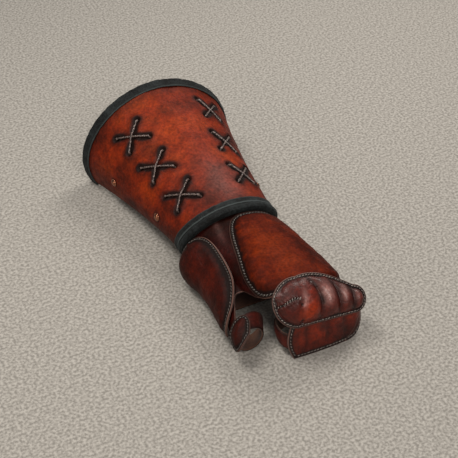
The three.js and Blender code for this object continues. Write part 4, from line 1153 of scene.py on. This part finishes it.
def bridge(place, thumb_turns, little_turns):
    """The path of a strap for a share u of its width and v of its length: on the wall, then a quadratic
    curve from the wall's tangent to the flat, then straight to the middle."""
    def surface(u, v, depth):
        near, t = v < 0.5, 1 - np.abs(2 * v - 1)
        start, leave = (np.where(near, thumb_turns[k], little_turns[k]) for k in (0, 1))
        wall_part = place(u, start + (leave - start) * np.minimum(t / on_wall, 1), depth)
        last = place(u, leave, depth)
        heading = unit(last - place(u, leave - np.sign(leave) * 0.5, depth))
        flat = strap_lift + depth
        run = (last[..., 2] - flat) / -heading[..., 2]
        corner = last + heading * run[..., None]
        landing = stack(corner[..., 0] + np.where(near, run, -run), corner[..., 1], flat + 0 * run)
        bend = np.clip((t - on_wall) / (bent - on_wall), 0, 1)[..., None]
        curve = (1 - bend) ** 2 * last + 2 * bend * (1 - bend) * corner + bend**2 * landing
        across = sum(place(u, turns[1] + 0 * u, 0 * u)[..., 0] for turns in (thumb_turns, little_turns)) / 2
        rest = np.clip((t - bent) / (1 - bent), 0, 1)[..., None]
        straight = landing + (stack(across, landing[..., 1], flat + 0 * run) - landing) * rest
        return np.where((t < on_wall)[..., None], wall_part, np.where((t < bent)[..., None], curve, straight))
    return surface


def strap(name, surface, width, length, rows=14, columns=200):
    """Both sides come from the same path at two depths, and meet at the rounded edges."""
    across, forward = np.meshgrid(edge_spaced(width, 0.9, rows) / width, edge_spaced(length, 0.9, columns) / length,
                                  indexing="ij")
    to_side, to_tip = np.minimum(across, 1 - across) * width, np.minimum(forward, 1 - forward) * length
    fullness = round_edge(to_side, 0.8) * round_edge(to_tip, 0.8)
    lower, upper = (surface(across, forward, strap_wall / 2 * (1 + side * fullness)) for side in (-1, 1))
    sheet_of(name, "strap_leather", lower, upper, strap_leather, {"dye_and_shade": 0.8 * bell(np.minimum(to_side, to_tip), 2)})


for end, (along, turn, length) in strap_rows.items():
    place = under_wall(cuff_surface, along, cuff_strap_width, cuff_length, cuff_wall + seat_gap)
    start, leave = turn - strap_leave * 1.6, edge_angle - strap_leave
    strap(f"strap_{end}", bridge(place, (-start, -leave), (start, leave)), cuff_strap_width, length)
palm_place = under_wall(hand_surface, 0.5, palm_strap_width, hand_length, body_wall + 2 * seat_gap)
strap("palm_strap", bridge(palm_place, (-100, body_sides[0] + strap_leave), (84, body_sides[1] - strap_leave)),
      palm_strap_width, 150)
thumb_place = under_wall(thumb_surface, 0.93, finger_strap_width, hand_length, body_wall + 2 * seat_gap)
strap("thumb_strap", lambda u, v, depth: thumb_place(u, 265 * v - 30, depth), finger_strap_width, 65, 12, 120)

# %% Finger strap
finger_loop_heights = (9.0, 17.0, 25.0)
finger_room = 27.0


def smooth_path(knots, at):
    """A centripetal curve through the knots: the parameter steps by the square root of each gap."""
    knots = np.asarray(knots, float)
    steps = np.concatenate([[0], np.cumsum(np.linalg.norm(np.diff(knots, axis=0), axis=1) ** 0.5)])
    return np.stack([smooth_table(steps, knots[:, k], at * steps[-1]) for k in range(3)], axis=-1)


def finger_loop(z):
    """Inside the plate's free side, back behind the fingers, and to inside the plate's other end."""
    inside = over(finger_surface, np.array([0.12, 0.03, 0.97]), np.full(3, z / finger["top"]),
                  np.full(3, -plate_wall - 2.5 * seat_gap - strap_wall / 2))
    a, b, d = inside
    back = b[1] + finger_room
    return [a, b, (b[0] - 5, b[1] + finger_room * 0.3, z), (b[0] - 2, back - 5, z), (b[0] + 12, back, z),
            ((b[0] + d[0]) / 2, back + 2, z), (d[0] - 14, back, z), (d[0] - 3, back + (d[1] - back) * 0.4, z), d]


loop_lines = np.stack([smooth_path(finger_loop(z), np.linspace(0, 1, 241)) for z in finger_loop_heights])


def finger_strap_surface(u, v, depth):
    """Straight from the low loop to the middle one and on to the high one, moved in by the depth."""
    stations = np.linspace(0, 1, loop_lines.shape[1])
    low, middle, high = np.stack([np.stack([np.interp(v[0], stations, line[:, k]) for k in range(3)], axis=-1)
                                  for line in loop_lines])
    w = u[:, :1, None] * 2
    across = np.where(w < 1, low + (middle - low) * w, middle + (high - middle) * (w - 1))
    heading = unit(np.gradient(across, axis=1))
    side = unit(stack(-heading[..., 1], heading[..., 0], 0.0))
    return across + side * (strap_wall / 2 - np.asarray(depth))[..., None]


strap("finger_strap", finger_strap_surface, finger_strap_width, 170, 12, 220)

# %% [markdown]
# ## Clasps
# Two plain one-piece clasps lie under the straps. Each is a plate with rounded corners: rings from the
# middle to a rounded rectangle, with the outer rings bent down over the edge.

# %% Clasps
clasp_half_width = 13.0
clasp_rings = np.array([0, 0.5, 0.8, 0.93, 0.97, 0.99, 1, 1, 0.99, 0.97, 0.93, 0.8, 0.5, 0])
clasp_levels = np.array([0, 0, 0, 0, 0.03, 0.1, 0.25, 0.75, 0.9, 0.97, 1, 1, 1, 1])


def clasp(name, along):
    """A rounded rectangle (|cos|^8 + |sin|^8)^(-1/8), with a rounded edge above and below."""
    angle = np.linspace(0, 2 * np.pi, 73)[:, None]
    reach = clasp_half_width * (np.abs(np.cos(angle)) ** 8 + np.abs(np.sin(angle)) ** 8) ** (-1 / 8)
    points = stack(cuff_surface(along, 0.0)[0] + clasp_rings * reach * np.cos(angle),
                   cuff_surface(along, edge_angle - strap_leave)[1] + clasp_rings * reach * np.sin(angle),
                   clasp_levels * (strap_lift - 2 * seat_gap) + seat_gap)
    finish_piece(surface_of(name, points, clasp_brass), "clasp_brass", name)


for end, (along, *_) in strap_rows.items():
    clasp(f"clasp_{end}", along)

# %% [markdown]
# ## Seams of the guard and the finger plate
# The guard has a stitched lip and the sewn dart, whose stitches cross its line. The finger plate is
# stitched along its free side and foot.

# %% Guard and finger seams
rim_way = np.linspace(0, 1, 160)
rim_rings = np.full_like(rim_way, lip_ring(2.0))
rim_out = normal_of(guard_surface, rim_rings, rim_way)
rim_out = rim_out * np.sign(rim_out @ guard_out)[:, None]
dart_line = np.stack([guard_skin.reshape(-1, 3)[np.argmin((w - dart_w) ** 2 + (q - dart_q) ** 2)]
                      for dart_w, dart_q in dart_path[1:]]) + guard_out * 0.1


def finger_line(share, up):
    """Points just under the finger plate's outer side, with their outward directions."""
    return over(finger_surface, share, up, np.full_like(share, -0.2)), normal_of(finger_surface, share, up)


edge_share = np.linspace(0.02, 0.98, 120)
free_side = finger_line(0 * edge_share + 2.6 / finger_span, 0.97 - edge_share * 0.9)
foot = finger_line(2.6 / finger_span + edge_share * 0.93, 2.7 / np.interp(edge_share, [0, 0.6, 1], [37, 34, 18]))
stitched("guard_stitches", [
    (guard_surface(rim_rings, rim_way, -0.1), rim_out, {"spacing": 2.9, "length": 2.6, "radius": 0.5}),
    (dart_line, np.broadcast_to(guard_out, dart_line.shape),
     {"spacing": 2.4, "length": 3.4, "radius": 0.5, "slant": 62.0}),
    (*free_side, {"spacing": 3.2}), (*foot, {"spacing": 3.2})], linen_thread)

# %% [markdown]
# ## Floor and light
# A pale matt floor with a fine speckle. One soft light stands high behind the cuff, one on the little
# finger's side, a weaker one on the thumb's side, and one in front that gives the guard its shine. The
# world gives the rest. Large lights make broad highlights on waxed leather, as in a studio.

# %% Floor
floor_corners = [(-4, -4, 0), (4, -4, 0), (4, 4, 0), (-4, 4, 0)]
material, add, place = new_material("pale_matt_floor")
speckle = add("MapRange", [add("TexNoise", grain_of(place, 2.6, 3.0)), 0.36, 0.64])
shaded(material, add, {"Base Color": layered(add, linear("837f79"), (speckle, linear("b0aca5"))), "Roughness": 0.9})
floor_mesh = bpy.data.meshes.new("floor")
floor_mesh.from_pydata(floor_corners, [], [(0, 1, 2, 3)])
floor_mesh.materials.append(material)
floor = bpy.data.objects.new("floor", floor_mesh)
bpy.context.scene.collection.objects.link(floor)

# %% Lights
def soft_light(name, place, aim, size, power, colour):
    """A square area light at a place, turned toward a point."""
    data = bpy.data.lights.new(name, "AREA")
    data.size, data.energy, data.color = size, power, linear(colour)[:3]
    light = bpy.data.objects.new(name, data)
    bpy.context.scene.collection.objects.link(light)
    light.location = place
    light.rotation_euler = (Vector(aim) - Vector(place)).to_track_quat("-Z", "Y").to_euler()


soft_light("overhead", (-0.38, 0.25, 1.2), (0, 0, 0), 0.5, 8.5, "fffaf2")
soft_light("little_side", (0.62, 0.4, 0.85), (0, 0, 0.05), 0.45, 6, "fff8f0")
soft_light("thumb_side", (-1.1, -0.5, 0.7), (0, 0, 0.05), 0.6, 3.2, "fff2e2")
soft_light("front", (-0.1, -1.0, 1.1), (0, -0.13, 0.05), 0.6, 8.0, "fff8f0")
world = bpy.data.worlds.new("studio")
world.use_nodes = True
world.node_tree.nodes["Background"].inputs["Color"].default_value = linear("dfe3ea")
world.node_tree.nodes["Background"].inputs["Strength"].default_value = 0.2
bpy.context.scene.world = world
# The plain transform keeps deep reds as saturated as they are in the photograph.
bpy.context.scene.view_settings.view_transform = "Standard"
